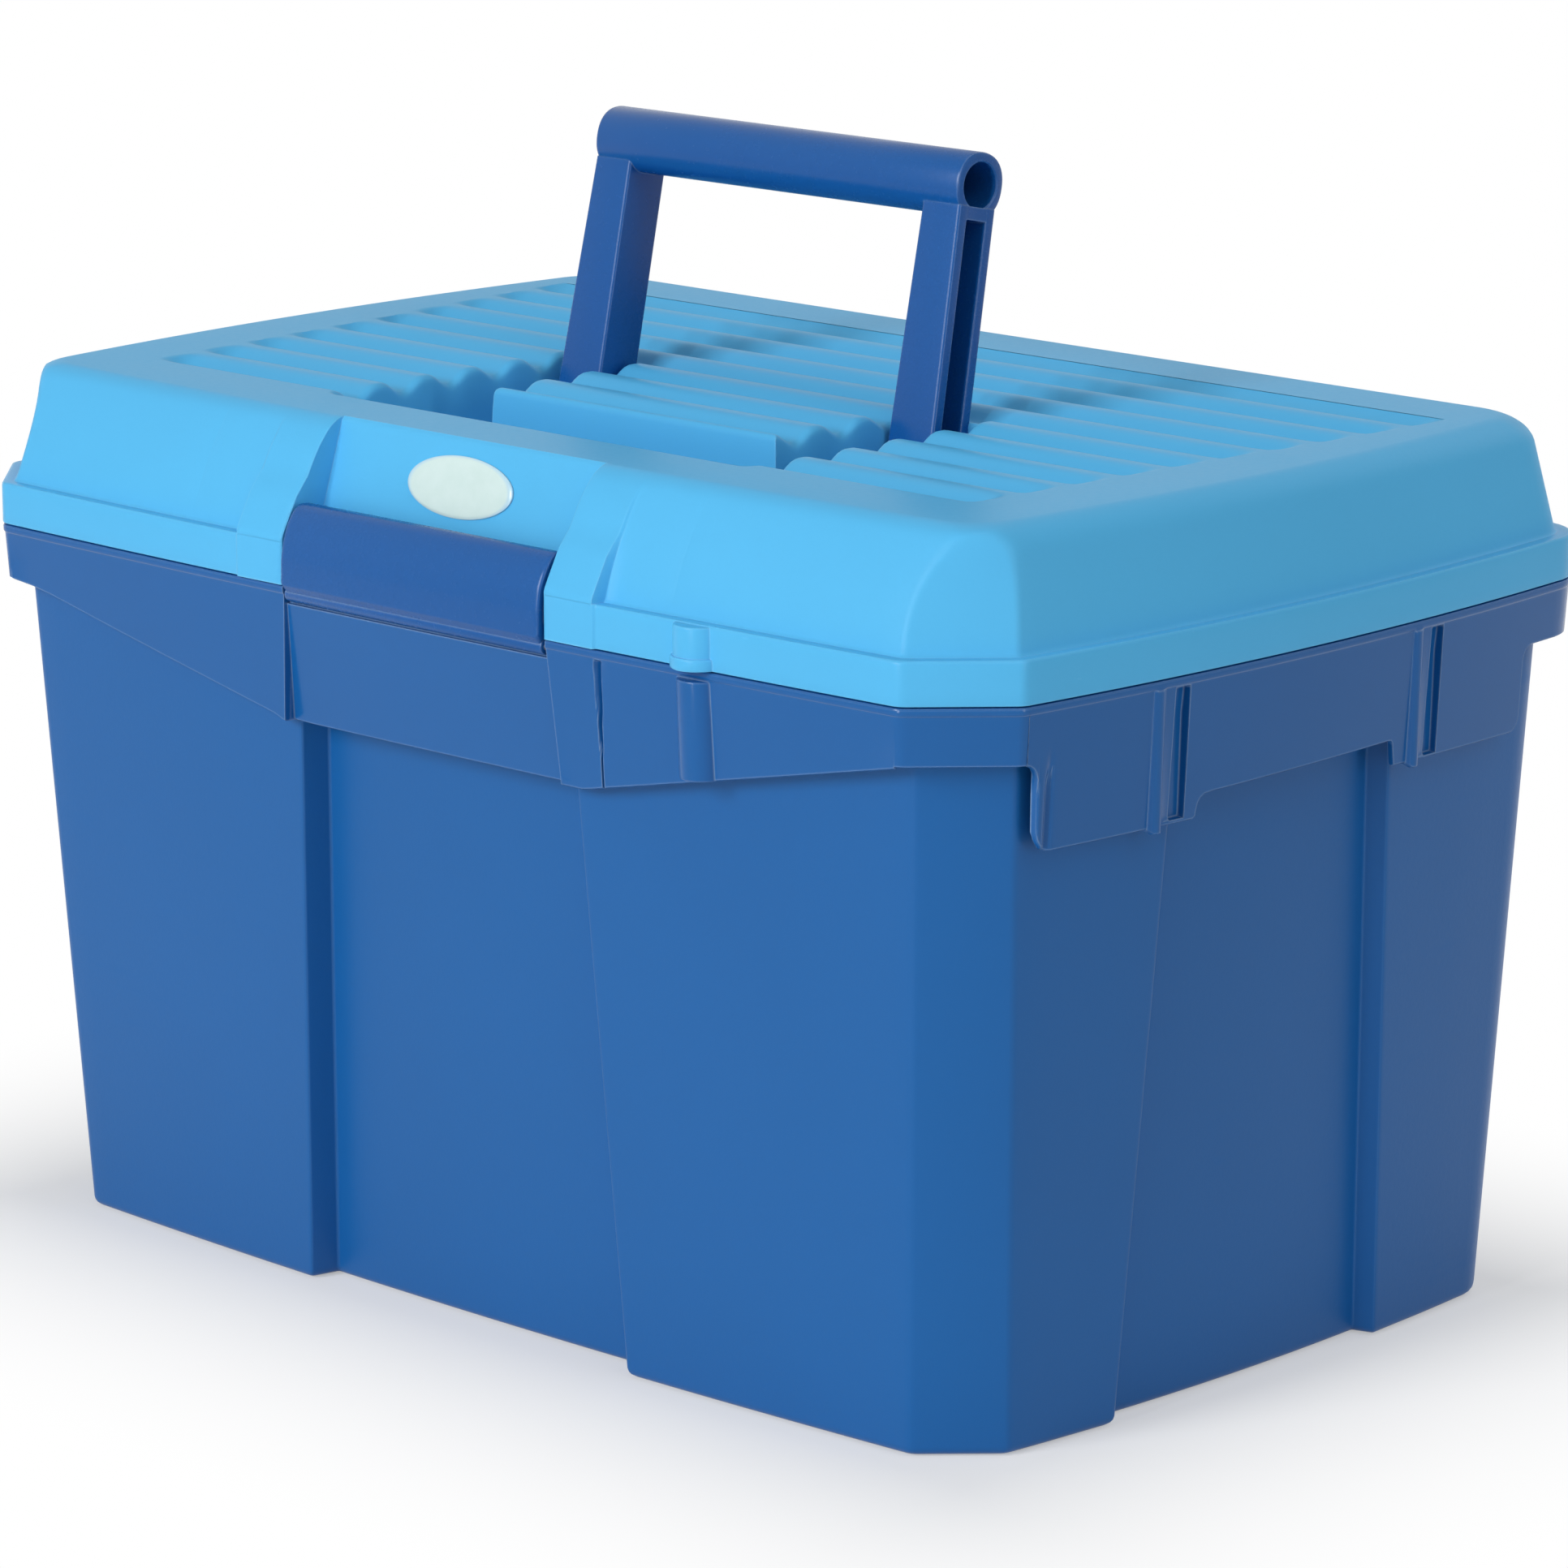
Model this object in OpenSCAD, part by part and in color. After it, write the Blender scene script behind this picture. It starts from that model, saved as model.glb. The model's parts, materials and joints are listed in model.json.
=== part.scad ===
// Lidded carry box for cleaning and care kit: a deep tub with a stepped apron round its rim,
// a hinged lid with a ribbed top, a handle that folds into the lid, a front latch flap
// and a lift-out insert tray. Millimetres, +Z up, origin in the middle of the tub's underside,
// front towards -Y.

/* [Rim] */
// Width between the corner ends of the two side walls at the rim
rim_width = 388; // [372:1:404]
// Depth from the front corners to the back wall at the rim
rim_depth = 250.8; // [240:0.1:265]
// How far each side wall swells outwards at its middle
side_bow = 6; // [3:0.1:8]
// How far the front wall swells outwards at its middle
front_bow = 3.8; // [2:0.1:6]
// Leg of the 45 degree chamfer at the front corners of the rim
rim_chamfer = 22; // [18:0.5:26]
// Radius of the rear corners of the rim
rim_round = 18; // [15:0.5:22]
// Height of the joint between tub and lid above the ground
rim_height = 200; // [192:1:215]

/* [Tub] */
// Width of the tub at the ground, without the bow
base_width = 356; // [346:1:362]
// Depth of the tub at the ground, without the bow
base_depth = 216.6; // [210:0.1:223]
// Swell of the front and side walls at the ground
base_bow = 5.1; // [2:0.1:6]
// Chamfer leg of the front corners at the ground
base_chamfer = 17.8; // [15:0.1:21]
// Radius of the rear corners at the ground
base_round = 15; // [12:0.5:18]
// Wall thickness of the moulded tub
tub_wall = 2.2; // [1.8:0.1:2.6]
// Thickness of the tub's floor
tub_floor = 2.6; // [2:0.1:4]
// Rounding between the tub's walls and its underside
foot_round = 2.4; // [1.5:0.1:3]
// Inset of the tub's side walls from the rim's face, at rim height
side_inset = 6.1; // [5:0.1:8]
// Inset of the tub's front and back walls from the rim's face, at rim height
front_inset = 7.7; // [6.5:0.1:9]
// Height of the lip that stands up inside the closed lid
lip_height = 5; // [3:0.1:7]

/* [Pressed panels] */
// Depth of the sunken panel in the front wall
front_panel_depth = 8.5; // [5:0.5:9.5]
// Half width of the sunken front panel at the ground
front_panel_half = 60.5; // [54:0.5:66]
// Depth of the sunken panels in the side walls
side_panel_depth = 6; // [4:0.5:8]
// Half width of the sunken side panels at the ground
side_panel_half = 50.6; // [46:0.2:55]
// Centre of the side panels, measured from the tub's middle
side_panel_y = -0.9; // [-3.5:0.1:2.5]
// Depth of the sunken panel in the back wall
back_panel_depth = 5; // [3:0.5:7]
// Narrowing of every sunken panel for each millimetre of height
panel_taper = 0.055; // [0.03:0.005:0.07]
// How far below the rim the sunken panels end, behind the apron
panel_below = 22; // [18:1:28]
// Run of the slanted step at a panel's edge
panel_step = 1.6; // [1:0.1:2.5]

/* [Apron] */
// Thickness of the apron that hangs from the rim
apron_wall = 2.2; // [1.8:0.1:2.6]
// Lean of the apron towards the tub for each millimetre down
apron_draft = 0.06; // [0.03:0.01:0.08]
// Drop of the apron below the rim at the corners
apron_corner_drop = 15; // [12:0.5:18]
// Drop of the apron below the rim beside the latch and along the sides
apron_deep_drop = 38; // [35:0.5:42]
// Drop of the apron over the sunken side panel
apron_panel_drop = 31; // [28:0.5:33]
// Left end of the deepest part of the front apron
apron_left_x = -50; // [-54:0.5:-46]
// Right end of the deepest part of the front apron
apron_right_x = 61; // [57:0.5:65]
// Front end of the deep part of the apron on the right side
apron_side_front_y = -97; // [-99:0.5:-92]
// Front end of the deep part of the apron on the left side
apron_left_front_y = -87.5; // [-92:0.5:-80]
// Rear end of the deep part of the side aprons
apron_side_rear_y = 93.5; // [86:0.5:96]
// Front end of the higher stretch of the side aprons
apron_high_front_y = -41.5; // [-43.5:0.5:-39.5]
// Rear end of the higher stretch of the side aprons
apron_high_rear_y = 35; // [32.5:0.5:36.5]
// Radius of the upright ribs on the side aprons
apron_rib_r = 2; // [1.5:0.1:2.5]
// Width of the upright slots in the side aprons
apron_slot_w = 4.6; // [4:0.1:5.4]
// Distance from each rib to the slot behind it
apron_slot_pitch = 8.4; // [8:0.2:10]
// Place of the front rib on the side aprons
apron_rib_front_y = -56.9; // [-59.5:0.1:-55.5]
// Place of the rear rib on the side aprons
apron_rib_rear_y = 43.9; // [42.5:0.1:46.5]
// Radius of the half round post right of the latch
post_r = 7; // [5.5:0.5:8]
// Step between the post on the tub, the one on the lid and the foot of the latter
post_step = 0.8; // [0.4:0.1:1.2]
// Place of that post across the front
post_x = 103; // [98:0.5:110]
// Width at the top of the tapering groove beside the latch
groove_w = 2.4; // [1.6:0.2:3]
// Place of that groove across the front
groove_x = 69; // [66.5:0.5:72]

/* [Lid] */
// Height of the lid above the joint
lid_height = 43.2; // [41:0.2:46]
// Height of the lid's upright rim band
band_height = 12; // [10:0.5:14]
// Width of the ledge between the rim band and the dome
ledge = 3.8; // [3:0.1:4.5]
// Wall thickness of the lid
lid_wall = 2.2; // [1.8:0.1:2.6]
// Thickness of the lid's top below the bottom of the grooves
top_skin = 2.4; // [2:0.1:3]
// Gap between the lid's band and the tub's rim
lid_gap = 0.3; // [0.2:0.05:0.5]
// Radius of the curved front of the dome
dome_r = 85; // [76:1:100]
// Lean of the dome's front at its foot, in degrees
dome_lean = 15; // [12:0.5:18]
// Lean of the dome's sides for each millimetre of height
dome_side_draft = 0.22; // [0.15:0.01:0.26]
// Lean of the dome's back for each millimetre of height
dome_back_draft = 0.12; // [0.08:0.01:0.2]
// Rounding between the dome's sides and its top
dome_round = 7; // [5:0.5:11]
// Leg of the corner facets where they end at the lid's top
facet_top = 6; // [1:0.5:8]
// Pitch of the ribs on the top
rib_pitch = 17.6; // [16.6:0.2:18.4]
// Depth of the grooves between the ribs
rib_depth = 3.5; // [2.5:0.1:4.5]
// Number of grooves
rib_count = 10; // [8:1:10]
// Place of the front groove
rib_first_y = -74.2; // [-75.5:0.1:-73.5]
// Half length of the front groove
rib_half_front = 155; // [140:1:160]
// Half length of the rear groove
rib_half_rear = 168; // [150:1:172]

/* [Latch] */
// Half width of the latch flap
latch_half = 49.5; // [46:0.5:52]
// Play between the flap and the lid at each end
latch_play = 0.8; // [0.5:0.1:1.2]
// Width of the raised frame on each side of the flap
frame_w = 18; // [16:0.5:20]
// Height of the flap above the joint
flap_rise = 22; // [20:0.5:24]
// Wall thickness of the flap
flap_wall = 2.2; // [1.8:0.1:2.6]
// How far the flap stands proud of the rim
flap_proud = 1.3; // [1:0.1:2]
// Depth of the lip at the flap's top
flap_lip = 4; // [3:0.2:4.6]
// Radius of the latch pin
latch_pin_r = 1; // [0.8:0.1:1.2]
// Outer radius of the flap's hinge barrel
latch_barrel_r = 2.1; // [1.9:0.1:2.4]
// Depth of the lid's catch face behind the rim's face
catch_depth = 9; // [8.5:0.1:10]
// Lean of the recess floor above the flap, for each millimetre of height
recess_lean = 0.32; // [0.25:0.01:0.4]
// Depth of the recess floor behind the rim's face, at the top of the catch
recess_depth = 14.6; // [13.5:0.1:16]
// Extra depth of the plate below the flap at its lower edge
plate_sink = 2.4; // [1.5:0.1:2.8]
// Widening of the plate's bay at each side, down to its lower edge
bay_flare = 3; // [1:0.5:4]
// Long diameter of the oval label
label_w = 40; // [34:1:44]
// Short diameter of the oval label
label_h = 16.6; // [14:0.2:18]
// Thickness of the label
label_t = 0.8; // [0.5:0.1:1.2]
// Gap of the glue film behind the label
label_seat = 0.1; // [0.05:0.01:0.15]

/* [Handle] */
// Diameter of the grip
grip_d = 18; // [16:0.5:20]
// Half length of the grip
grip_half = 69; // [67:0.5:70.5]
// Diameter of the grip's hollow core
grip_bore_d = 12.6; // [11:0.2:14]
// Distance from the pivot to the grip's axis
handle_reach = 72.6; // [70:0.2:74]
// Distance from the middle to the inner face of each arm
arm_in = 55.5; // [55:0.1:57]
// Distance from the middle to the outer face of each arm, at the pivot
arm_out = 71.8; // [70.5:0.1:74]
// Depth of the arms
arm_depth = 14.4; // [13:0.1:15]
// Wall thickness of the arms round their open channel
arm_wall = 3; // [2.4:0.1:3.6]
// Backward lean of the raised handle, in degrees
handle_lean = 12.2; // [10:0.1:14]
// Radius of the pivot stubs
stub_r = 3; // [2.5:0.1:3.6]
// Place of the pivot, front to back
pivot_y = 0.8; // [-0.5:0.1:2.5]
// Depth of the pivot below the lid's top
pivot_drop = 10.2; // [10:0.1:11]
// Depth of the handle's recess below the lid's top
recess_drop = 22; // [21:0.2:24]
// Half width of the raised pad between the arms
pad_half = 54; // [53:0.1:54.4]
// Distance from the middle to the outer wall of the recess
channel_out = 79.5; // [77:0.5:82]
// Front wall of the recess
trough_front_y = -83.5; // [-85.5:0.5:-82.5]
// Front wall of the pad
pad_front_y = -47; // [-49.5:0.5:-43.5]
// Gap between the raised arms and the back of their channels
stop_gap = 0.35; // [0.2:0.05:0.5]

/* [Lid hinges] */
// Distance of each hinge from the middle
hinge_x = 112; // [100:1:125]
// Length of each hinge, over both outer knuckles
hinge_len = 48; // [40:1:56]
// Length of the lid's knuckle
knuckle_len = 22; // [18:1:26]
// Radius of the hinge knuckles
knuckle_r = 4.8; // [4.4:0.1:5.2]
// Radius of the hinge pins
hinge_pin_r = 2; // [1.6:0.1:2.4]
// Distance of the hinge axis behind the rim
hinge_back = 6.6; // [6.2:0.1:7]
// Depth of the hinge axis below the joint
hinge_below = 1; // [0.8:0.1:2]

/* [Insert tray] */
// Depth of the tray's pockets
tray_depth = 40; // [30:1:46]
// Wall thickness of the tray
tray_wall = 1.8; // [1.5:0.1:2.2]
// Gap between the tray's body and the side panels, at the rim's height
tray_gap_x = 2.7; // [1.7:0.1:14]
// Gap between the tray's body and the back panel, at the rim's height
tray_gap_y = 8; // [7:0.5:15]
// Radius of the tray's upright corners
tray_round = 14; // [8:1:18]
// How far the dividers end below the tray's top
divider_drop = 3; // [1:0.5:6]
// Place of the long divider
divider_y = -20; // [-38:1:2]
// Distance of the short dividers from the middle
divider_x = 60; // [50:1:80]

/* [Fits] */
// Radial play of a pin in the part that turns on it
pin_play = 0.06; // [0.03:0.01:0.09]
// Play between neighbouring knuckles
side_play = 0.5; // [0.3:0.1:0.8]
// Play of the tray's flange inside the tub
tray_play = 2.8; // [0.6:0.1:3.2]
// Distance of the flange's straight front edge from the tub's wall there
tray_front_gap = 4.5; // [1:0.1:5]
// Gap under the tray's flange
seat_gap = 0.3; // [0.2:0.05:0.4]

/* [Hidden] */
$fn = 48;
eps = 0.05;
far = 400;
edge_n = 4;      // segments in each stretch of a bowed wall
corner_n = 4;    // segments in a rear corner
shelf_rise = 0.4;
sole_rise = 0.3;  // the underside is this much hollow towards its edges
cap_inset = front_panel_depth + 1;

rim_x = rim_width / 2;
rim_y = rim_depth / 2;
front_face = rim_y + front_bow;          // distance of the rim's face from the middle, at the latch
post_y = post_r * 0.45 - rim_y - swell(front_bow, post_x / (rim_x - rim_chamfer));
lip_top = rim_height + lip_height;
lid_top = rim_height + lid_height;
lid_foot = rim_height + lid_gap;
dome_foot = rim_height + band_height;
dome_rise = lid_top - dome_foot;
panel_top = rim_height - panel_below;
shelf_z = panel_top + tub_wall;          // shelf inside the tub on top of the panels
tray_z = shelf_z + shelf_rise + seat_gap;
tray_half_x = rim_x - side_inset - side_panel_depth - tub_wall - tray_gap_x;
tray_half_y = rim_y - front_inset - back_panel_depth - tub_wall - tray_gap_y;
hinge_y = rim_y + hinge_back;
hinge_z = rim_height - hinge_below;
pivot_z = lid_top - pivot_drop;
recess_z = lid_top - recess_drop;
latch_y = -(front_face - latch_barrel_r);
latch_z = rim_height - latch_barrel_r;
latch_bay = latch_half + latch_play;     // half width of the lid's latch recess
flap_face = front_face + flap_proud;
catch_top = rim_height + flap_rise - 5;

function lerp(a, b, t) = a + (b - a) * t;
function swell(s, t) = s * (1 - t * t);

// Distance that a 45 degree chamfer loses when its outline moves inwards
function chamfer_in(c, off) = max(0.2, c - off * (2 - sqrt(2)));

// Places along a half wall, from its end to the edge of a panel and across the panel
function stations(half, edge, step, n) = concat(
    [for (i = [0 : n]) lerp(-half, -edge - step, i / n)],
    [for (i = [0 : n]) lerp(-edge, edge, i / n)],
    [for (i = [0 : n]) lerp(edge + step, half, i / n)]);

function wall_line(half, edge, step, depth, bow, n) =
    [for (s = stations(half, edge, step, n))
        [s, swell(bow, s / half) - (abs(s) <= edge + 0.001 ? depth : 0)]];

function arc(cx, cy, r, a0, a1, n) =
    [for (i = [0 : n]) let (a = lerp(a0, a1, i / n)) [cx + r * cos(a), cy + r * sin(a)]];

// Plan of a bowed box: x, y are the half sizes; panels are [half, depth] with the side's centre
function plan(x, y, chamfer, round, bow_f, bow_s, pf, ps, pb, ps_y, step) =
    let (y_mid = (round - chamfer) / -2, half_s = y - (chamfer + round) / 2, half_f = x - chamfer,
         half_b = x - round,
         front = wall_line(half_f, pf[0], step, pf[1], bow_f, edge_n),
         side = [for (s = stations_side(half_s, ps[0], ps_y - y_mid, step, edge_n))
                    [s[0], swell(bow_s, s[0] / half_s) - (s[1] ? ps[1] : 0)]],
         back = wall_line(half_b, pb[0], step, pb[1], 0, edge_n))
    concat(
        [for (p = front) [p[0], -y - p[1]]],
        [for (p = side) [x + p[1], y_mid + p[0]]],
        arc(x - round, y - round, round, 12, 78, corner_n),
        [for (p = back) [-p[0], y + p[1]]],
        arc(-x + round, y - round, round, 102, 168, corner_n),
        [for (i = [len(side) - 1 : -1 : 0]) [-x - side[i][1], y_mid + side[i][0]]]);

// Stations along a side wall whose panel isn't centred; the flag marks the sunken stretch
function stations_side(half, edge, mid, step, n) = concat(
    [for (i = [0 : n]) [lerp(-half, mid - edge - step, i / n), false]],
    [for (i = [0 : n]) [lerp(mid - edge, mid + edge, i / n), true]],
    [for (i = [0 : n]) [lerp(mid + edge + step, half, i / n), false]]);

function ring(points, z) = [for (p = points) [p[0], p[1], z]];

// Closed body through plans of equal length, from the lowest to the highest
module loft(rings) {
    n = len(rings[0]);
    m = len(rings);
    sides = [for (i = [0 : m - 2], j = [0 : n - 1])
        let (a = i * n + j, b = i * n + (j + 1) % n)
        each [[a, a + n, b + n], [a, b + n, b]]];
    polyhedron(
        points = [for (r = rings) each r],
        faces = concat(sides, [[for (j = [0 : n - 1]) j]], [[for (j = [n - 1 : -1 : 0]) (m - 1) * n + j]]),
        convexity = 8);
}

// Plan of the tub at height z, moved inwards by off; sunk is 1 where the panels are pressed in
function tub_plan(z, off, sunk) =
    let (t = z / rim_height,
         x = lerp(base_width / 2, rim_x - side_inset, t) - off,
         y = lerp(base_depth / 2, rim_y - front_inset, t) - off,
         narrow = panel_taper * z)
    plan(x, y, chamfer_in(base_chamfer, off), base_round - off, base_bow, base_bow,
         [front_panel_half - narrow + off, front_panel_depth * sunk],
         [side_panel_half - narrow + off, side_panel_depth * sunk],
         [front_panel_half - narrow + off, back_panel_depth * sunk], side_panel_y, panel_step);

// Plan of the rim, moved inwards by off
function rim_plan(off) =
    plan(rim_x - off, rim_y - off, chamfer_in(rim_chamfer, off), rim_round - off, front_bow, side_bow,
         [front_panel_half, 0], [side_panel_half, 0], [front_panel_half, 0], side_panel_y, panel_step);

module tub_outside() {
    loft([
        ring(tub_plan(0, foot_round + cap_inset, 0), 0),
        ring(tub_plan(sole_rise, foot_round, 1), sole_rise),
        ring(tub_plan(foot_round * 0.4, foot_round * 0.25, 1), foot_round * 0.4),
        ring(tub_plan(foot_round, 0, 1), foot_round),
        ring(tub_plan(panel_top, 0, 1), panel_top),
        ring(tub_plan(panel_top + panel_step, 0, 0), panel_top + panel_step),
        ring(tub_plan(lip_top, 0, 0), lip_top)]);
}

module tub_inside() {
    loft([
        ring(tub_plan(tub_floor, tub_wall + cap_inset, 0), tub_floor),
        ring(tub_plan(tub_floor + 2 * sole_rise, tub_wall, 1), tub_floor + 2 * sole_rise),
        ring(tub_plan(shelf_z, tub_wall, 1), shelf_z),
        ring(tub_plan(shelf_z + shelf_rise, tub_wall, 0), shelf_z + shelf_rise),
        ring(tub_plan(lip_top + 1, tub_wall, 0), lip_top + 1)]);
}

apron_low = rim_height - apron_deep_drop;
apron_corner_z = rim_height - apron_corner_drop;
apron_panel_z = rim_height - apron_panel_drop;
function apron_off(z) = apron_draft * (rim_height - z);

// Hanging wall of the apron, with its lean, before its lower edge is cut to shape
module apron_shell(off_out, off_in) {
    z0 = apron_low - 4;
    difference() {
        loft([ring(rim_plan(off_out + apron_off(z0)), z0), ring(rim_plan(off_out), rim_height)]);
        loft([ring(rim_plan(off_in + apron_off(z0 - 1)), z0 - 1),
              ring(rim_plan(off_in - 0.01), rim_height + 1)]);
    }
}

// Everything under the apron's lower edge at the front, seen from the front
module apron_cut_front() {
    slope_end = rim_x - rim_chamfer;
    translate([0, apron_side_front_y - 1, 0]) rotate([90, 0, 0]) linear_extrude(far)
        polygon([[-far, 0], [far, 0], [far, apron_corner_z], [slope_end, apron_corner_z],
                 [apron_right_x, apron_low], [apron_left_x, apron_low],
                 [-slope_end, apron_corner_z], [-far, apron_corner_z]]);
}

// Everything under the apron's lower edge at the sides and back, seen from the side
module apron_cut_side() {
    apron_cut_half(0, apron_side_front_y);
    apron_cut_half(-far, apron_left_front_y);
}

module apron_cut_half(x, front_y) {
    r = 4;
    rear_y = apron_side_rear_y;
    start_y = apron_side_front_y - r - 0.52;
    translate([x, 0, 0]) rotate([90, 0, 90]) linear_extrude(far)
        polygon(concat(
            [[start_y, 0], [far, 0], [far, apron_corner_z]],
            arc(rear_y + r, apron_corner_z - r, r, 90, 180, 4),
            arc(rear_y - r, apron_low + r, r, 360, 270, 4),
            [[apron_high_rear_y + 1, apron_low], [apron_high_rear_y, apron_panel_z],
             [apron_high_front_y, apron_panel_z - 1], [apron_high_front_y - 1, apron_low]],
            arc(front_y + r, apron_low + r, r, 270, 180, 4),
            arc(front_y - r, apron_corner_z - r, r, 0, 90, 4),
            [[start_y, apron_corner_z]]));
}

function side_face(y) =
    let (mid = (rim_chamfer - rim_round) / 2, half = rim_y - (rim_chamfer + rim_round) / 2)
    rim_x + swell(side_bow, (y - mid) / half);

module apron_ribs() {
    for (s = [-1, 1], y = [apron_rib_front_y, apron_rib_rear_y])
        translate([s * (side_face(y) - apron_rib_r * 0.45 - apron_off(apron_low) / 2), y, apron_low - 1])
            cylinder(r = apron_rib_r, h = apron_deep_drop - 1);
}

module apron_slots() {
    for (s = [-1, 1], y = [apron_rib_front_y, apron_rib_rear_y])
        translate([s * (side_face(y) - 5), y + apron_slot_pitch, apron_low + 2])
            translate([-7, -apron_slot_w / 2, 0])
                cube([14, apron_slot_w, apron_deep_drop - 5]);
}

plate_top = latch_z - latch_barrel_r - 0.8;

// Bay of the latch in the front apron, a little wider at its lower edge
module latch_bay_space() {
    low = apron_low - 5;
    rotate([90, 0, 0]) linear_extrude(far)
        polygon([[-latch_bay, rim_height + 1], [-latch_bay, rim_height - 2.4], [-latch_bay - bay_flare, low],
                 [latch_bay + bay_flare, low], [latch_bay, rim_height - 2.4], [latch_bay, rim_height + 1]]);
}

// Sloping plate below the latch flap
module latch_plate() {
    foot = front_face - apron_off(apron_low) - plate_sink;
    intersection() {
        latch_bay_space();
        translate([-far / 2, 0, 0]) rotate([90, 0, 90]) linear_extrude(far)
            polygon([[-front_face + apron_off(plate_top), plate_top], [-foot, apron_low],
                     [-foot + apron_wall, apron_low], [-front_face + apron_wall + 1, plate_top]]);
    }
}

// Ears of the tub that hold the latch pin
module latch_ears() {
    for (s = [-1, 1])
        translate([s * (latch_bay + 2.5) - 2.5, -front_face + 0.2, plate_top - 2])
            cube([5, 6, rim_height - plate_top + 2]);
}

module tub_knuckles() {
    outer = (hinge_len - knuckle_len) / 2 - side_play;
    for (s = [-1, 1], k = [-1, 1])
        translate([s * hinge_x + k * (knuckle_len / 2 + side_play + outer / 2), 0, 0])
            rotate([90, 0, 90]) translate([0, 0, -outer / 2]) {
                translate([hinge_y, hinge_z, 0]) cylinder(r = knuckle_r, h = outer);
                linear_extrude(outer)
                    polygon([[rim_y - 1.5, rim_height - 2], [rim_y - 1.5, rim_height - 14],
                             [hinge_y - knuckle_r * 0.2, hinge_z - knuckle_r * 0.98],
                             [hinge_y, hinge_z], [hinge_y - knuckle_r * 0.7, rim_height - 2]]);
            }
}

module tub() {
    color("#2f5f9e") difference() {
        union() {
            tub_outside();
            difference() {
                union() {
                    difference() {
                        apron_shell(0, apron_wall);
                        latch_bay_space();
                    }
                    intersection() {
                        apron_ribs();
                        translate([-far, -far, 0]) cube([2 * far, 2 * far, rim_height - 1]);
                    }
                    difference() {
                        translate([post_x, post_y, apron_low])
                            cylinder(r = post_r - post_step, h = rim_height - apron_low - 2.6);
                        translate([post_x - far / 2, -front_face + apron_wall, 0]) cube(far);
                    }
                }
                apron_cut_front();
                apron_cut_side();
                apron_slots();
                tapering_groove();
            }
            latch_plate();
            difference() {
                loft([ring(rim_plan(0.02 + apron_off(rim_height - 2.4)), rim_height - 2.4),
                      ring(rim_plan(0.02), rim_height)]);
                translate([-latch_bay, -far, 0])
                    cube([2 * latch_bay, far - front_face + 2 * latch_barrel_r + 0.6, far]);
            }
            latch_ears();
            tub_knuckles();
        }
        tub_inside();
        translate([-latch_bay - lid_wall - 1, -far, rim_height])
            cube([2 * (latch_bay + lid_wall + 1), far - rim_y + front_inset + 4, far]);
        translate([-far / 2, latch_y, latch_z]) rotate([0, 90, 0])
            cylinder(r = latch_pin_r + pin_play / 3, h = far);
        for (s = [-1, 1])
            translate([s * hinge_x - hinge_len, hinge_y, hinge_z]) rotate([0, 90, 0])
                cylinder(r = hinge_pin_r + pin_play / 3, h = 2 * hinge_len);
    }
}

// Groove beside the latch, wide at the top and running out to nothing
module tapering_groove() {
    translate([groove_x, -front_face + 1.2, 0]) rotate([90, 0, 0]) linear_extrude(6)
        polygon([[-groove_w / 2, rim_height - 2.6], [groove_w / 2, rim_height - 2.6], [0.6, apron_low + 3]]);
}

// Insets of the dome from its foot, at height h above the foot
function dome_front_in(h) =
    let (s = sin(dome_lean) + h / dome_r) dome_r * (cos(dome_lean) - sqrt(1 - s * s)) + top_roll(h, 3.5);
function top_roll(h, r) = h > dome_rise - r ? r - sqrt(max(0, r * r - pow(h - dome_rise + r, 2))) : 0;
function dome_side_in(h) = dome_side_draft * h + top_roll(h, dome_round);
function dome_back_in(h) = dome_back_draft * h + top_roll(h, dome_round);

// Plan of the dome at height h above its foot, moved inwards by off
function dome_plan(h, off) =
    let (x = rim_x - ledge - dome_side_in(h) - off,
         yf = rim_y - ledge - dome_front_in(h) - off,
         yb = rim_y - ledge - dome_back_in(h) - off,
         f = min(1, h / dome_rise),
         leg = max(facet_top, chamfer_in(rim_chamfer, ledge) * sqrt(1 - f * f)),
         c = max(0.4, chamfer_in(leg, off)),
         shift = (yb - yf) / 2)
    [for (p = plan(x, (yf + yb) / 2, c, rim_round - 2 - off, front_bow, side_bow,
                   [front_panel_half, 0], [side_panel_half, 0], [front_panel_half, 0], side_panel_y,
                   panel_step)) [p[0], p[1] + shift]];

dome_levels = [0, 6, 12, 17, 21, 24.5, 26.5, 28.3, 29.6, 30.5, 31];

module lid_outside() {
    k = dome_rise / 31.2;
    loft([ring(rim_plan(0), lid_foot), ring(rim_plan(0), dome_foot - 1),
          ring(rim_plan(0.8), dome_foot)]);
    loft([for (h = concat([-1], dome_levels, [31.2])) ring(dome_plan(max(0, h * k), 0), dome_foot + h * k)]);
}

ceiling = lid_top - rib_depth - top_skin;

module lid_inside() {
    k = (ceiling - dome_foot) / 25.3;
    union() {
        loft([ring(rim_plan(lid_wall), lid_foot - 1), ring(rim_plan(lid_wall), dome_foot - lid_wall)]);
        loft([for (h = [-3, 0, 6, 12, 18, 22, 25.3])
            ring(dome_plan(max(0, h * k), lid_wall), dome_foot + h * k)]);
    }
}

// Solid wedge that forms the raised frame beside the latch
module latch_frame() {
    mid = (rim_height + lid_top) / 2;
    profile = [[-front_face, lid_foot], [-front_face, dome_foot + 1], [-front_face + 2.2, dome_foot + 5.4],
               [-front_face + 5.9, dome_foot + 12.2], [-front_face + 14.3, dome_foot + 21.4],
               [-front_face + 22, dome_foot + 29.5], [-front_face + 30, dome_foot + 29.5],
               [-front_face + 30, lid_foot]];
    translate([-latch_bay - frame_w, 0, 0]) rotate([90, 0, 90])
        linear_extrude(2 * (latch_bay + frame_w)) polygon(profile);
}

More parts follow.
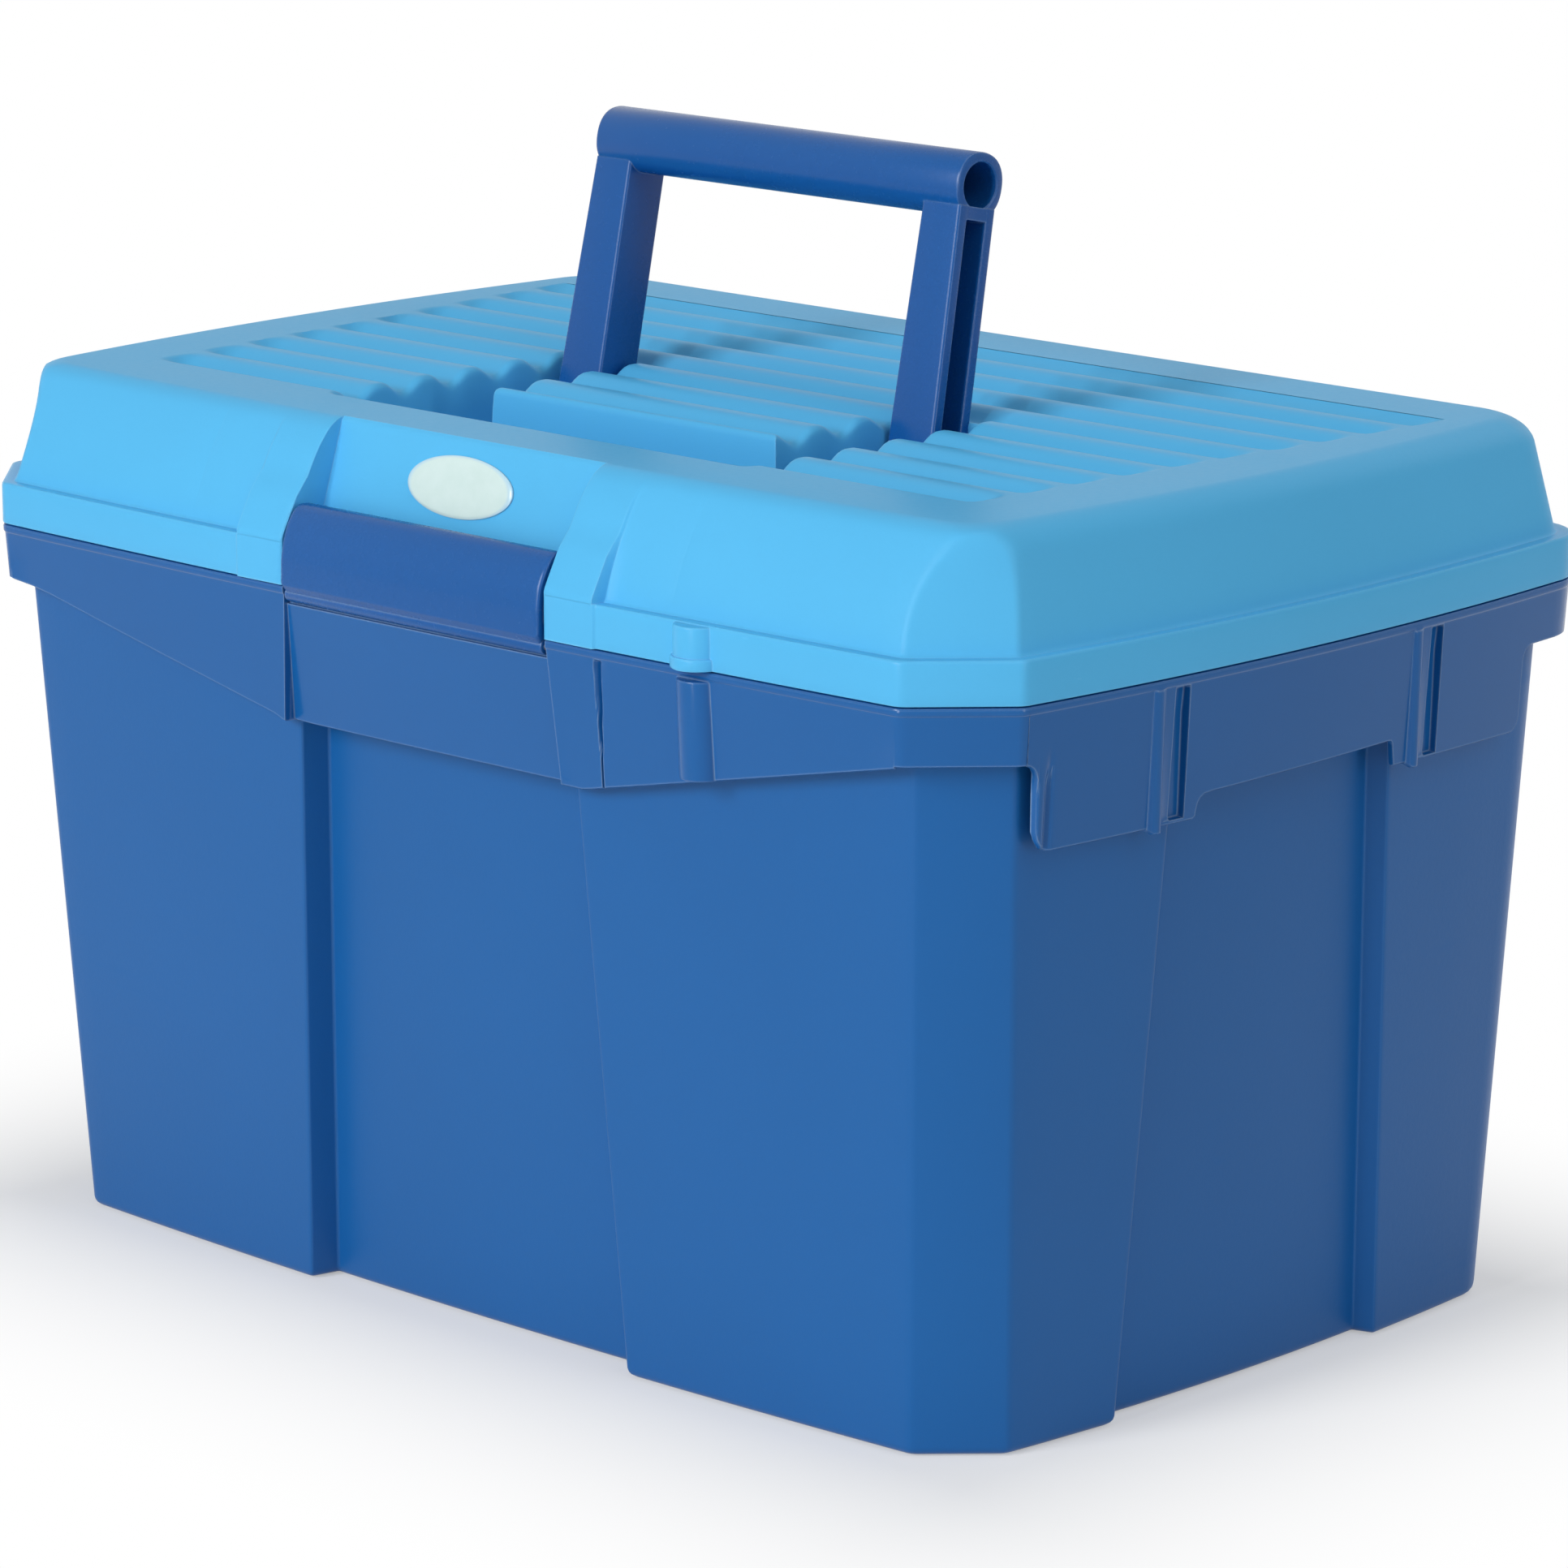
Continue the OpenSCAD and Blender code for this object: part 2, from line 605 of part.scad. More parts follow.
function recess_floor(z) = -front_face + recess_depth + recess_lean * (z - catch_top);

// Space in front of the lid's catch face and recess floor
module latch_recess(grow) {
    translate([-latch_bay - grow, 0, 0]) rotate([90, 0, 90])
        linear_extrude(2 * (latch_bay + grow))
            polygon([[-far, 0], [-front_face + catch_depth + grow, 0],
                     [-front_face + catch_depth + grow, catch_top + grow * 0.6],
                     [recess_floor(catch_top + 1.5) + grow, catch_top + 1.5 + grow * 0.6],
                     [recess_floor(lid_top + 5) + grow, lid_top + 5], [-far, lid_top + 5]]);
}

// Space for the folded handle: a trough at the front and a channel for each arm, whose back leans
module handle_recess(grow) {
    z0 = recess_z - grow;
    out = channel_out + grow;
    pad = pad_half - grow;
    back = pivot_y + arm_depth / 2 + stop_gap + 0.6 + grow;
    lean_y = pivot_y + (arm_depth / 2 + stop_gap + grow) / cos(handle_lean);
    z_lean = pivot_z + (back - lean_y) / tan(handle_lean);
    z_end = lid_top + 5;
    translate([0, 0, z0]) linear_extrude(z_end - z0)
        polygon([[-out, trough_front_y - grow], [out, trough_front_y - grow], [out, back], [pad, back],
                 [pad, pad_front_y + grow], [-pad, pad_front_y + grow], [-pad, back], [-out, back]]);
    for (s = [-1, 1])
        translate([s > 0 ? pad + 0.4 : -out + 0.4, 0, 0]) rotate([90, 0, 90])
            linear_extrude(out - pad - 0.8)
                polygon([[back - 1, z_lean], [back, z_lean],
                         [lean_y + (z_end - pivot_z) * tan(handle_lean), z_end], [back - 1, z_end]]);
}

function groove_half(i) = lerp(rib_half_front, rib_half_rear, i / (rib_count - 1));

module rib_grooves() {
    n = 5;
    w = rib_pitch * 0.46;
    profile = [for (i = [-n : n]) [w * i / n, -rib_depth * pow(cos(90 * i / n), 2.4)]];
    for (i = [0 : rib_count - 1])
        translate([-groove_half(i), rib_first_y + i * rib_pitch, lid_top + 0.01])
            rotate([90, 0, 90]) linear_extrude(2 * groove_half(i))
                polygon(concat([[w, 3], [-w, 3]], profile));
}

module lid_knuckles() {
    for (s = [-1, 1])
        translate([s * hinge_x - knuckle_len / 2, 0, 0]) rotate([90, 0, 90]) {
            translate([hinge_y, hinge_z, 0]) cylinder(r = knuckle_r, h = knuckle_len);
            linear_extrude(knuckle_len)
                polygon([[rim_y - 1, lid_foot + 0.4], [hinge_y - knuckle_r * 0.8, lid_foot + 0.4],
                         [hinge_y, hinge_z], [hinge_y + knuckle_r * 0.2, hinge_z + knuckle_r * 0.98],
                         [rim_y - 1, rim_height + band_height - 2]]);
        }
}

module lid_post() {
    translate([post_x, post_y, lid_foot]) {
        cylinder(r = post_r, h = band_height - 0.6);
        cylinder(r = post_r + post_step, h = 3.4);
    }
}

module lid() {
    color("#5bb2e0") difference() {
        union() {
            difference() {
                union() {
                    lid_outside();
                    latch_frame();
                    lid_post();
                }
                lid_inside();
            }
            intersection() {
                lid_outside();
                union() {
                    difference() {
                        latch_recess(lid_wall);
                        translate([-far, -far, 0]) cube([2 * far, 2 * far, lid_foot]);
                    }
                    handle_recess(lid_wall);
                }
            }
            lid_knuckles();
        }
        latch_recess(0);
        handle_recess(0);
        rib_grooves();
        for (s = [-1, 1])
            translate([s * hinge_x - hinge_len, hinge_y, hinge_z]) rotate([0, 90, 0])
                cylinder(r = hinge_pin_r + pin_play, h = 2 * hinge_len);
        translate([-pad_half - lid_wall, pivot_y, pivot_z]) rotate([0, 90, 0])
            cylinder(r = stub_r + pin_play, h = 2 * (pad_half + lid_wall));
    }
}

// Handle, built upright on its pivot and then leaned back
module carry_handle() {
    taper = arm_out - grip_half;
    color("#2b5899") translate([0, pivot_y, pivot_z]) rotate([-handle_lean, 0, 0]) {
        difference() {
            union() {
                translate([-grip_half, 0, handle_reach]) rotate([0, 90, 0])
                    cylinder(d = grip_d, h = 2 * grip_half);
                for (s = [-1, 1]) mirror([s < 0 ? 1 : 0, 0, 0]) {
                    translate([0, arm_depth / 2, 0]) rotate([90, 0, 0]) linear_extrude(arm_depth)
                        polygon([[arm_in, 0], [arm_out, 0], [arm_out - taper, handle_reach],
                                 [arm_in, handle_reach]]);
                    translate([arm_in, 0, 0]) rotate([0, 90, 0])
                        cylinder(d = arm_depth, h = arm_out - arm_in);
                }
            }
            translate([-grip_half + arm_wall, 0, handle_reach]) rotate([0, 90, 0])
                cylinder(d = grip_bore_d, h = 2 * grip_half);
            for (s = [-1, 1])
                translate([s > 0 ? arm_in + arm_wall : -arm_in - arm_wall - far,
                           -arm_depth / 2 + arm_wall, arm_wall])
                    cube([far, arm_depth - 2 * arm_wall, handle_reach - grip_d / 2 - 2 * arm_wall]);
        }
        for (s = [-1, 1]) mirror([s < 0 ? 1 : 0, 0, 0])
            translate([arm_in - (arm_in - pad_half + lid_wall + 0.6), 0, 0]) rotate([0, 90, 0])
                cylinder(r = stub_r, h = arm_in - pad_half + lid_wall + 1.6);
    }
}

module latch_flap() {
    top = rim_height + flap_rise;
    foot = lid_foot + 0.4;
    k = flap_rise / 22;
    back = -flap_face + flap_wall;
    outer = [[-flap_face, foot], [-flap_face, rim_height + 8 * k],
             [-flap_face + 0.9 * k, rim_height + 13 * k], [-flap_face + 2.8 * k, rim_height + 17.6 * k],
             [-flap_face + 5.4 * k, top - k], [-flap_face + 7.2 * k, top]];
    inner = [[-flap_face + 5.4 * k + flap_lip, top], [-flap_face + 5.4 * k + flap_lip, top - flap_wall],
             [-flap_face + 7 * k, top - flap_wall], [back + 2.8 * k, rim_height + 16.4 * k],
             [back + 0.8 * k, rim_height + 12 * k], [back, rim_height + 8 * k],
             [back, rim_height + 4 * k], [latch_y + latch_barrel_r * 0.9, latch_z + 0.8],
             [latch_y - latch_barrel_r * 0.9, latch_z + 0.8]];
    color("#2b5899") translate([-latch_half, 0, 0]) rotate([90, 0, 90]) difference() {
        union() {
            linear_extrude(2 * latch_half) polygon(concat(outer, inner));
            translate([latch_y, latch_z, 0]) cylinder(r = latch_barrel_r, h = 2 * latch_half);
        }
        translate([latch_y, latch_z, -1]) cylinder(r = latch_pin_r + pin_play, h = far);
    }
}

module latch_pin() {
    color("silver") translate([-latch_bay - 5, latch_y, latch_z]) rotate([0, 90, 0])
        cylinder(r = latch_pin_r, h = 2 * (latch_bay + 5));
}

module hinge_pin(s) {
    color("silver") translate([s * hinge_x - hinge_len / 2, hinge_y, hinge_z]) rotate([0, 90, 0])
        cylinder(r = hinge_pin_r, h = hinge_len);
}

module label_plate() {
    z = (catch_top + lid_top) / 2 + 0.6;
    outline = [for (a = [0 : 7.5 : 352.5]) [label_w / 2 * cos(a), label_h / 2 * sin(a)]];
    color("#d7ebeb") translate([0, recess_floor(z), z]) rotate([90 - atan(recess_lean), 0, 0])
        translate([0, 0, label_seat]) linear_extrude(label_t) polygon(outline);
}

// Upright block with rounded corners, centred on the tub; x and y are its half sizes
module rounded_block(x, y, r, z0, z1) {
    translate([0, 0, z0]) linear_extrude(z1 - z0) {
        square([2 * x - 2 * r, 2 * y], center = true);
        square([2 * x, 2 * y - 2 * r], center = true);
        for (sx = [-1, 1], sy = [-1, 1])
            translate([sx * (x - r), sy * (y - r)]) circle(r);
    }
}

module insert_tray() {
    z0 = tray_z + tray_wall - tray_depth;
    z1 = tray_z + tray_wall;
    inner_x = tray_half_x - tray_wall;
    inner_y = tray_half_y - tray_wall;
    color("#3a6fb0") {
        difference() {
            union() {
                rounded_block(tray_half_x, tray_half_y, tray_round, z0, z1);
                difference() {
                    translate([0, 0, tray_z]) linear_extrude(tray_wall)
                        polygon(tub_plan(tray_z, tub_wall + tray_play, 0));
                    translate([-rim_x / 2, -far, 0])
                        cube([rim_x, far - rim_y + front_inset + tray_front_gap, far]);
                }
            }
            difference() {
                rounded_block(inner_x, inner_y, tray_round - tray_wall, z0 + tray_wall, z1 + 1);
                translate([-inner_x - 1, divider_y - tray_wall / 2, z0])
                    cube([2 * inner_x + 2, tray_wall, tray_depth - divider_drop]);
                for (s = [-1, 1])
                    translate([s * divider_x - tray_wall / 2, divider_y, z0])
                        cube([tray_wall, inner_y - divider_y + 1, tray_depth - divider_drop]);
            }
        }
    }
}

tub();
lid();
carry_handle();
latch_flap();
insert_tray();
label_plate();
hinge_pin(-1);  // hinge_pin_left
hinge_pin(1);  // hinge_pin_right
latch_pin();
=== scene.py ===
"""Looks of a lidded plastic carry box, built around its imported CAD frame. Sizes are in millimetres."""

import json
import logging
import math
from dataclasses import dataclass, field
from enum import Enum
from typing import Callable, Optional, Sequence, Union

import bmesh
import bpy
import numpy as np
from mathutils import Matrix, Vector

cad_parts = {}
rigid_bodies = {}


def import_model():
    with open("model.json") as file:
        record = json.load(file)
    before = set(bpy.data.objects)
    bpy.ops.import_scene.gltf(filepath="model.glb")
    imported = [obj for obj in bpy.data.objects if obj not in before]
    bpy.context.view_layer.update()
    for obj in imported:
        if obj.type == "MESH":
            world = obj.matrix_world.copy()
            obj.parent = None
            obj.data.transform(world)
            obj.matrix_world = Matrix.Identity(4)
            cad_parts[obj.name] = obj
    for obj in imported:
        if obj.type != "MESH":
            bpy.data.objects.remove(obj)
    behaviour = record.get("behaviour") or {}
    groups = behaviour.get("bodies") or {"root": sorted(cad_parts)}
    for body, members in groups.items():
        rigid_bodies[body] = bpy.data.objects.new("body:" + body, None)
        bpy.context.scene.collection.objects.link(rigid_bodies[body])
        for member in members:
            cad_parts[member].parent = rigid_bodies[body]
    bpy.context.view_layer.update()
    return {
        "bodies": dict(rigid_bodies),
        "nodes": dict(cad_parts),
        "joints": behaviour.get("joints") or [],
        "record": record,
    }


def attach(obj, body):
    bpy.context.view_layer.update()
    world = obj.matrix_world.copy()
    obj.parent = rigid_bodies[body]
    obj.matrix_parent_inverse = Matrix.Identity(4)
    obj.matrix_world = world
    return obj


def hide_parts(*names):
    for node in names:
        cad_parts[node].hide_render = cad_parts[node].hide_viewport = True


LOG = logging.getLogger("carry_box")
MM = 0.001
Array = np.ndarray
Colour = tuple[float, float, float, float]
Hint = Callable[[Array], Array]


def upward(centres: Array) -> Array:
    """Outward direction of a surface seen from above."""
    return np.tile([0.0, 0.0, 1.0], (len(centres), 1))


def downward(centres: Array) -> Array:
    """Outward direction of a surface seen from below."""
    return -upward(centres)


def away(centres: Array) -> Array:
    """Outward direction of a wall that runs round the upright axis."""
    return centres * [1.0, 1.0, 0.0]


def inward(centres: Array) -> Array:
    """Outward direction of the inner face of such a wall."""
    return -away(centres)


def ease(t: Array) -> Array:
    """Smooth step from 0 to 1."""
    t = np.clip(t, 0.0, 1.0)
    return t * t * (3 - 2 * t)


def spread(low: float, high: float, count: int) -> Array:
    """Evenly spaced values, both ends included."""
    return np.linspace(low, high, count)


def arc_points(middle: Sequence[float], radius: float, start: float, stop: float, count: int) -> Array:
    """Points on a circular arc.

    Args:
        middle: its centre.
        radius: its radius.
        start: the first angle, in degrees.
        stop: the last angle.
        count: how many points it has.

    Returns:
        One pair for each point.
    """
    turn = np.radians(spread(start, stop, count))
    return np.column_stack([middle[0] + radius * np.cos(turn), middle[1] + radius * np.sin(turn)])


def distance_to(places: Array, spots: Sequence[float]) -> Array:
    """Distance from each place to the nearest spot."""
    return np.min([np.abs(places - spot) for spot in spots], axis=0)


class Skin:
    """Collects grids of points in millimetres and turns them into one mesh."""

    def __init__(self) -> None:
        """Starts empty."""
        self.points: list[Array] = []
        self.faces: list[tuple[int, ...]] = []
        self.count = 0

    def grid(self, points: Array, hint: Hint, closed: bool = False) -> None:
        """Adds a grid of quads.

        Args:
            points: rows x columns x 3.
            hint: gives the outward direction for face centres.
            closed: joins the last column to the first.
        """
        rows, cols = points.shape[:2]
        index = np.arange(rows * cols).reshape(rows, cols)
        here = index if closed else index[:, :-1]
        there = np.roll(index, -1, axis=1) if closed else index[:, 1:]
        quads = np.stack([here[:-1], there[:-1], there[1:], here[1:]], axis=-1).reshape(-1, 4)
        flat = points.reshape(-1, 3)
        a, b, c, d = (flat[quads[:, i]] for i in range(4))
        normals = np.cross(c - a, d - b)
        if float((normals * hint((a + b + c + d) / 4)).sum()) < 0:
            quads = quads[:, ::-1]
        self.faces += [tuple(q) for q in (quads + self.count).tolist()]
        self._add(flat)

    def cap(self, ring: Array, hint: Hint) -> None:
        """Adds one flat face.

        Args:
            ring: points in order.
            hint: gives its outward direction.
        """
        order = list(range(len(ring)))
        a = ring - ring.mean(axis=0)
        normal = np.cross(a, np.roll(a, -1, axis=0)).sum(axis=0)
        if float((normal * hint(ring.mean(axis=0)[None])[0]).sum()) < 0:
            order.reverse()
        self.faces.append(tuple(self.count + i for i in order))
        self._add(ring)

    def _add(self, flat: Array) -> None:
        """Keeps points."""
        self.points.append(flat)
        self.count += len(flat)

    def loft(self, rings: Array, core: Array) -> None:
        """Adds a closed tube of rings with flat ends.

        Args:
            rings: rings x points x 3.
            core: one point on the axis for each ring.
        """
        centre = core.mean(axis=0)
        axis = core[-1] - core[0]
        axis = axis / max(1e-9, float(np.linalg.norm(axis)))

        def outward(c: Array) -> Array:
            """Away from the tube's axis."""
            v = c - centre
            return v - np.outer(v @ axis, axis)

        self.grid(rings, outward, closed=True)
        for ring, sign in ((rings[0], -1), (rings[-1], 1)):
            self.cap(ring, lambda c, way=sign * axis: np.tile(way, (len(c), 1)))

    def prism(self, profile: Array, low: float, high: float, edge: float,
              place: Callable[[Array, float], Array]) -> None:
        """Adds a prism with rounded ends.

        Args:
            profile: points of its section, in order.
            low: one end.
            high: the other end.
            edge: radius at the ends.
            place: lays a section at its place along the prism.
        """
        middle = profile.mean(axis=0)
        size = float(np.abs(profile - middle).max())
        steps = ((0.0, 1.0), (0.3, 0.3), (1.0, 0.0))
        levels = [(low + t * edge, shrink) for t, shrink in steps]
        levels += [(high - t * edge, shrink) for t, shrink in reversed(steps)]
        rings = [place(middle + (profile - middle) * (1 - shrink * edge / size), at)
                 for at, shrink in levels]
        core = [place(middle[None], at)[0] for at, _ in levels]
        self.loft(np.array(rings), np.array(core))

    def bar(self, profile: Array, x0: float, x1: float, edge: float) -> None:
        """Adds a bar along X with rounded ends.

        Args:
            profile: y, z points in order.
            x0: one end.
            x1: the other end.
            edge: radius at the ends.
        """
        self.prism(profile, x0, x1, edge, lambda ring, x: np.column_stack([np.full(len(ring), x), ring]))

    def column(self, profile: Array, z0: float, z1: float, edge: float, lean: float = 0.0) -> None:
        """Adds an upright column with rounded ends.

        Args:
            profile: x, y points in order.
            z0: lower end.
            z1: upper end.
            edge: radius at the ends.
            lean: shift of the lower end towards +Y.
        """
        def place(ring: Array, z: float) -> Array:
            """Lays one section at its height."""
            shift = lean * (z1 - z) / (z1 - z0)
            return np.column_stack([ring[:, 0], ring[:, 1] + shift, np.full(len(ring), z)])

        self.prism(profile, z0, z1, edge, place)

    def build(self, name: str, angle: float = 32.0) -> bpy.types.Object:
        """Makes the object.

        Args:
            name: its name.
            angle: edges sharper than this many degrees stay sharp.

        Returns:
            The linked object, in metres.
        """
        mesh = bpy.data.meshes.new(name)
        mesh.from_pydata((np.concatenate(self.points) * MM).tolist(), [], self.faces)
        work = bmesh.new()
        work.from_mesh(mesh)
        bmesh.ops.remove_doubles(work, verts=work.verts, dist=2e-6)
        bmesh.ops.dissolve_degenerate(work, edges=work.edges, dist=2e-6)
        work.to_mesh(mesh)
        work.free()
        mesh.polygons.foreach_set("use_smooth", [True] * len(mesh.polygons))
        mesh.set_sharp_from_angle(angle=math.radians(angle))
        made = bpy.data.objects.new(name, mesh)
        bpy.context.scene.collection.objects.link(made)
        return made


class Term:
    """A node socket that takes part in Python expressions."""

    def __init__(self, graph: "Graph", socket: bpy.types.NodeSocket) -> None:
        """Wraps a socket."""
        self.graph = graph
        self.socket = socket

    def _math(self, operation: str, *others: Union["Term", float], swap: bool = False) -> "Term":
        """Adds one Math node.

        Args:
            operation: its name in Blender.
            others: the other values.
            swap: puts this term last.

        Returns:
            The result.
        """
        values = [self, *others]
        if swap:
            values.reverse()
        return self.graph.node("ShaderNodeMath", {"operation": operation}, dict(enumerate(values)))

    def __add__(self, other: Union["Term", float]) -> "Term":
        """Sum."""
        return self._math("ADD", other)

    __radd__ = __add__

    def __sub__(self, other: Union["Term", float]) -> "Term":
        """Difference."""
        return self._math("SUBTRACT", other)

    def __rsub__(self, other: float) -> "Term":
        """Difference, reflected."""
        return self._math("SUBTRACT", other, swap=True)

    def __mul__(self, other: Union["Term", float]) -> "Term":
        """Product."""
        return self._math("MULTIPLY", other)

    __rmul__ = __mul__

    def __truediv__(self, other: Union["Term", float]) -> "Term":
        """Quotient."""
        return self._math("DIVIDE", other)

    def __pow__(self, other: Union["Term", float]) -> "Term":
        """Power."""
        return self._math("POWER", other)

    def __abs__(self) -> "Term":
        """Magnitude."""
        return self._math("ABSOLUTE")

    def least(self, other: Union["Term", float]) -> "Term":
        """The smaller of two."""
        return self._math("MINIMUM", other)

    def most(self, other: Union["Term", float]) -> "Term":
        """The larger of two."""
        return self._math("MAXIMUM", other)

    def unit(self) -> "Term":
        """Held between 0 and 1."""
        return self.most(0.0).least(1.0)

    def cosine(self) -> "Term":
        """Cosine of an angle in radians."""
        return self._math("COSINE")

    def root(self) -> "Term":
        """Square root."""
        return self._math("SQRT")

    def whole(self) -> "Term":
        """Nearest whole number."""
        return self._math("ROUND")


class Graph:
    """A node tree that is written as expressions."""

    def __init__(self, tree: bpy.types.NodeTree) -> None:
        """Starts with an empty tree."""
        self.tree = tree
        tree.nodes.clear()

    def node(self, kind: str, settings: Optional[dict] = None, inputs: Optional[dict] = None,
             output: Union[int, str] = 0) -> Term:
        """Adds a node.

        Args:
            kind: its type.
            settings: properties, set first.
            inputs: values or terms by socket name or number.
            output: the socket that is returned.

        Returns:
            The chosen output.
        """
        made = self.tree.nodes.new(kind)
        for key, value in (settings or {}).items():
            setattr(made, key, value)
        for key, value in (inputs or {}).items():
            if isinstance(value, Term):
                self.tree.links.new(value.socket, made.inputs[key])
            else:
                made.inputs[key].default_value = value
        return Term(self, made.outputs[output] if len(made.outputs) else made.inputs[0])

    def mix(self, factor: Term, first: Union[Term, Colour], second: Union[Term, Colour]) -> Term:
        """Blend of two colours."""
        return self.node("ShaderNodeMix", {"data_type": "RGBA"}, {0: factor, 6: first, 7: second}, 2)

    def noise(self, vector: Term, scale: float, detail: float) -> Term:
        """Noise from 0 to 1."""
        return self.node("ShaderNodeTexNoise", None, {"Vector": vector, "Scale": scale, "Detail": detail})

    def stretched(self, vector: Term, scale: tuple[float, float, float]) -> Term:
        """The vector with each axis scaled."""
        return self.node("ShaderNodeMapping", None, {"Vector": vector, "Scale": scale})

    def axes(self, vector: Term) -> list[Term]:
        """X, Y and Z of a vector."""
        split = self.node("ShaderNodeSeparateXYZ", None, {"Vector": vector}).socket.node
        return [Term(self, split.outputs[axis]) for axis in "XYZ"]

    def bump(self, height: Term, strength: float, distance: float) -> Term:
        """Normal of a surface with a relief."""
        return self.node("ShaderNodeBump", None,
                         {"Height": height, "Strength": strength, "Distance": distance})

    def surface(self, shader: Term) -> None:
        """Makes a shader the material's surface."""
        self.node("ShaderNodeOutputMaterial", None, {"Surface": shader})


def new_material(name: str) -> tuple[bpy.types.Material, Graph]:
    """Starts a material.

    Args:
        name: its name.

    Returns:
        The material and its empty node tree.
    """
    made = bpy.data.materials.new(name)
    made.use_nodes = True
    return made, Graph(made.node_tree)


def linear(red: int, green: int, blue: int) -> Colour:
    """Turns a display colour into a scene colour.

    Args:
        red: 0 to 255.
        green: 0 to 255.
        blue: 0 to 255.

    Returns:
        The colour, with an alpha of 1.
    """
    parts = [c / 255 for c in (red, green, blue)]
    made = [c / 12.92 if c <= 0.04045 else ((c + 0.055) / 1.055) ** 2.4 for c in parts]
    return (made[0], made[1], made[2], 1.0)


class Grain(Enum):
    """Surface texture of a moulding."""

    FINE = 0.35
    SMOOTH = 0.12


@dataclass(frozen=True)
class Plastic:
    """Moulded polypropylene: fine grain, faint clouds of darker and lighter tone, scuffs, and a painted
    highlight that makes sharp edges paler.

    Noise scales are per metre. Below the height polish_below, in millimetres, it is smoother.
    """

    name: str
    colour: Colour
    roughness: float
    grain: Grain
    variation: float = 0.05
    specular: float = 0.28
    polish_below: float = 0.0
    # strength of the painted highlight on sharp edges
    edge_highlight_strength: float = 1.0
    cloud_scale: float = 9.0
    cell_scale: float = 620.0
    pore_scale: float = 2100.0
    flow_scale: tuple[float, float, float] = (30.0, 30.0, 240.0)
    edge_radius: float = 0.0008
    # how far the painted edge highlight lifts each channel towards white
    edge_highlight_lift: tuple[float, float, float] = (0.16, 0.2, 0.22)
    grain_height: float = 0.00012

    def tint(self, scale: float, lift: float = 0.0) -> Colour:
        """The colour made darker or lighter."""
        red, green, blue = (min(1.0, c * scale + lift) for c in self.colour[:3])
        return (red, green, blue, 1.0)

    def painted_edge_highlight(self, graph: Graph, shade: Term) -> Term:
        """Finds sharp edges, where a painted highlight makes the colour paler.

        Args:
            graph: the material's tree.
            shade: clouds that make the painted highlight uneven.

        Returns:
            1 where the painted highlight is strongest.
        """
        soft = graph.node("ShaderNodeBevel", {"samples": 4}, {"Radius": self.edge_radius})
        flat = graph.node("ShaderNodeNewGeometry", output="True Normal")
        match = graph.node("ShaderNodeVectorMath", {"operation": "DOT_PRODUCT"}, {0: soft, 1: flat},
                           "Value")
        return ((0.97 - match) * 6.0).unit() * (0.35 + shade * 0.4) * self.edge_highlight_strength

    def build(self) -> bpy.types.Material:
        """Makes the material.

        Returns:
            It.
        """
        made, graph = new_material(self.name)
        place = graph.node("ShaderNodeTexCoord", output="Object")
        clouds = graph.noise(place, self.cloud_scale, 3.0)
        cells = graph.noise(place, self.cell_scale, 2.0)
        pores = graph.noise(place, self.pore_scale, 1.0)
        flow = graph.noise(graph.stretched(place, self.flow_scale), 1.0, 3.0)
        scuff = ((flow - 0.62) * 5.0).unit()
        shade = ((clouds - 0.5) * 1.6 + 0.5).unit()
        body = graph.mix(shade, self.tint(1 - self.variation), self.tint(1 + self.variation))
        specks = ((cells - 0.55) * 1.5).unit() * 0.35
        tone = graph.mix(specks, body, self.tint(0.9, 0.012))
        # painted highlight: sharp edges are mixed towards a paler colour, in place of gloss on crisp
        # edges
        red, green, blue = (c + (1 - c) * w for c, w in zip(self.colour, self.edge_highlight_lift))
        tone = graph.mix(self.painted_edge_highlight(graph, shade), tone, (red, green, blue, 1.0))
        smooth = ((self.polish_below * MM - graph.axes(place)[2]) * 3000.0).unit()
        uneven = self.roughness + (cells - 0.5) * 0.10 + (clouds - 0.5) * 0.06 + scuff * 0.05
        height = (cells * 0.7 + pores * 0.3) * (1.0 - smooth * 0.8)
        shader = graph.node("ShaderNodeBsdfPrincipled", None, {
            "Base Color": tone, "Roughness": uneven * (1.0 - smooth * 0.4),
            "Normal": graph.bump(height, self.grain.value, self.grain_height),
            "Specular IOR Level": self.specular, "IOR": 1.49})
        graph.surface(shader)
        return made


@dataclass(frozen=True)
class Steel:
    """Drawn wire with lines along X."""

    name: str
    line_scale: tuple[float, float, float] = (60.0, 2500.0, 2500.0)

    def build(self) -> bpy.types.Material:
        """Makes the material.

        Returns:
            It.
        """
        made, graph = new_material(self.name)
        place = graph.node("ShaderNodeTexCoord", output="Object")
        lines = graph.noise(graph.stretched(place, self.line_scale), 1.0, 4.0)
        shader = graph.node("ShaderNodeBsdfPrincipled", None, {
            "Base Color": graph.mix(lines, linear(176, 177, 180), linear(208, 209, 212)),
            "Metallic": 1.0, "Roughness": 0.24 + lines * 0.18, "Normal": graph.bump(lines, 0.3, 0.0001)})
        graph.surface(shader)
        return made


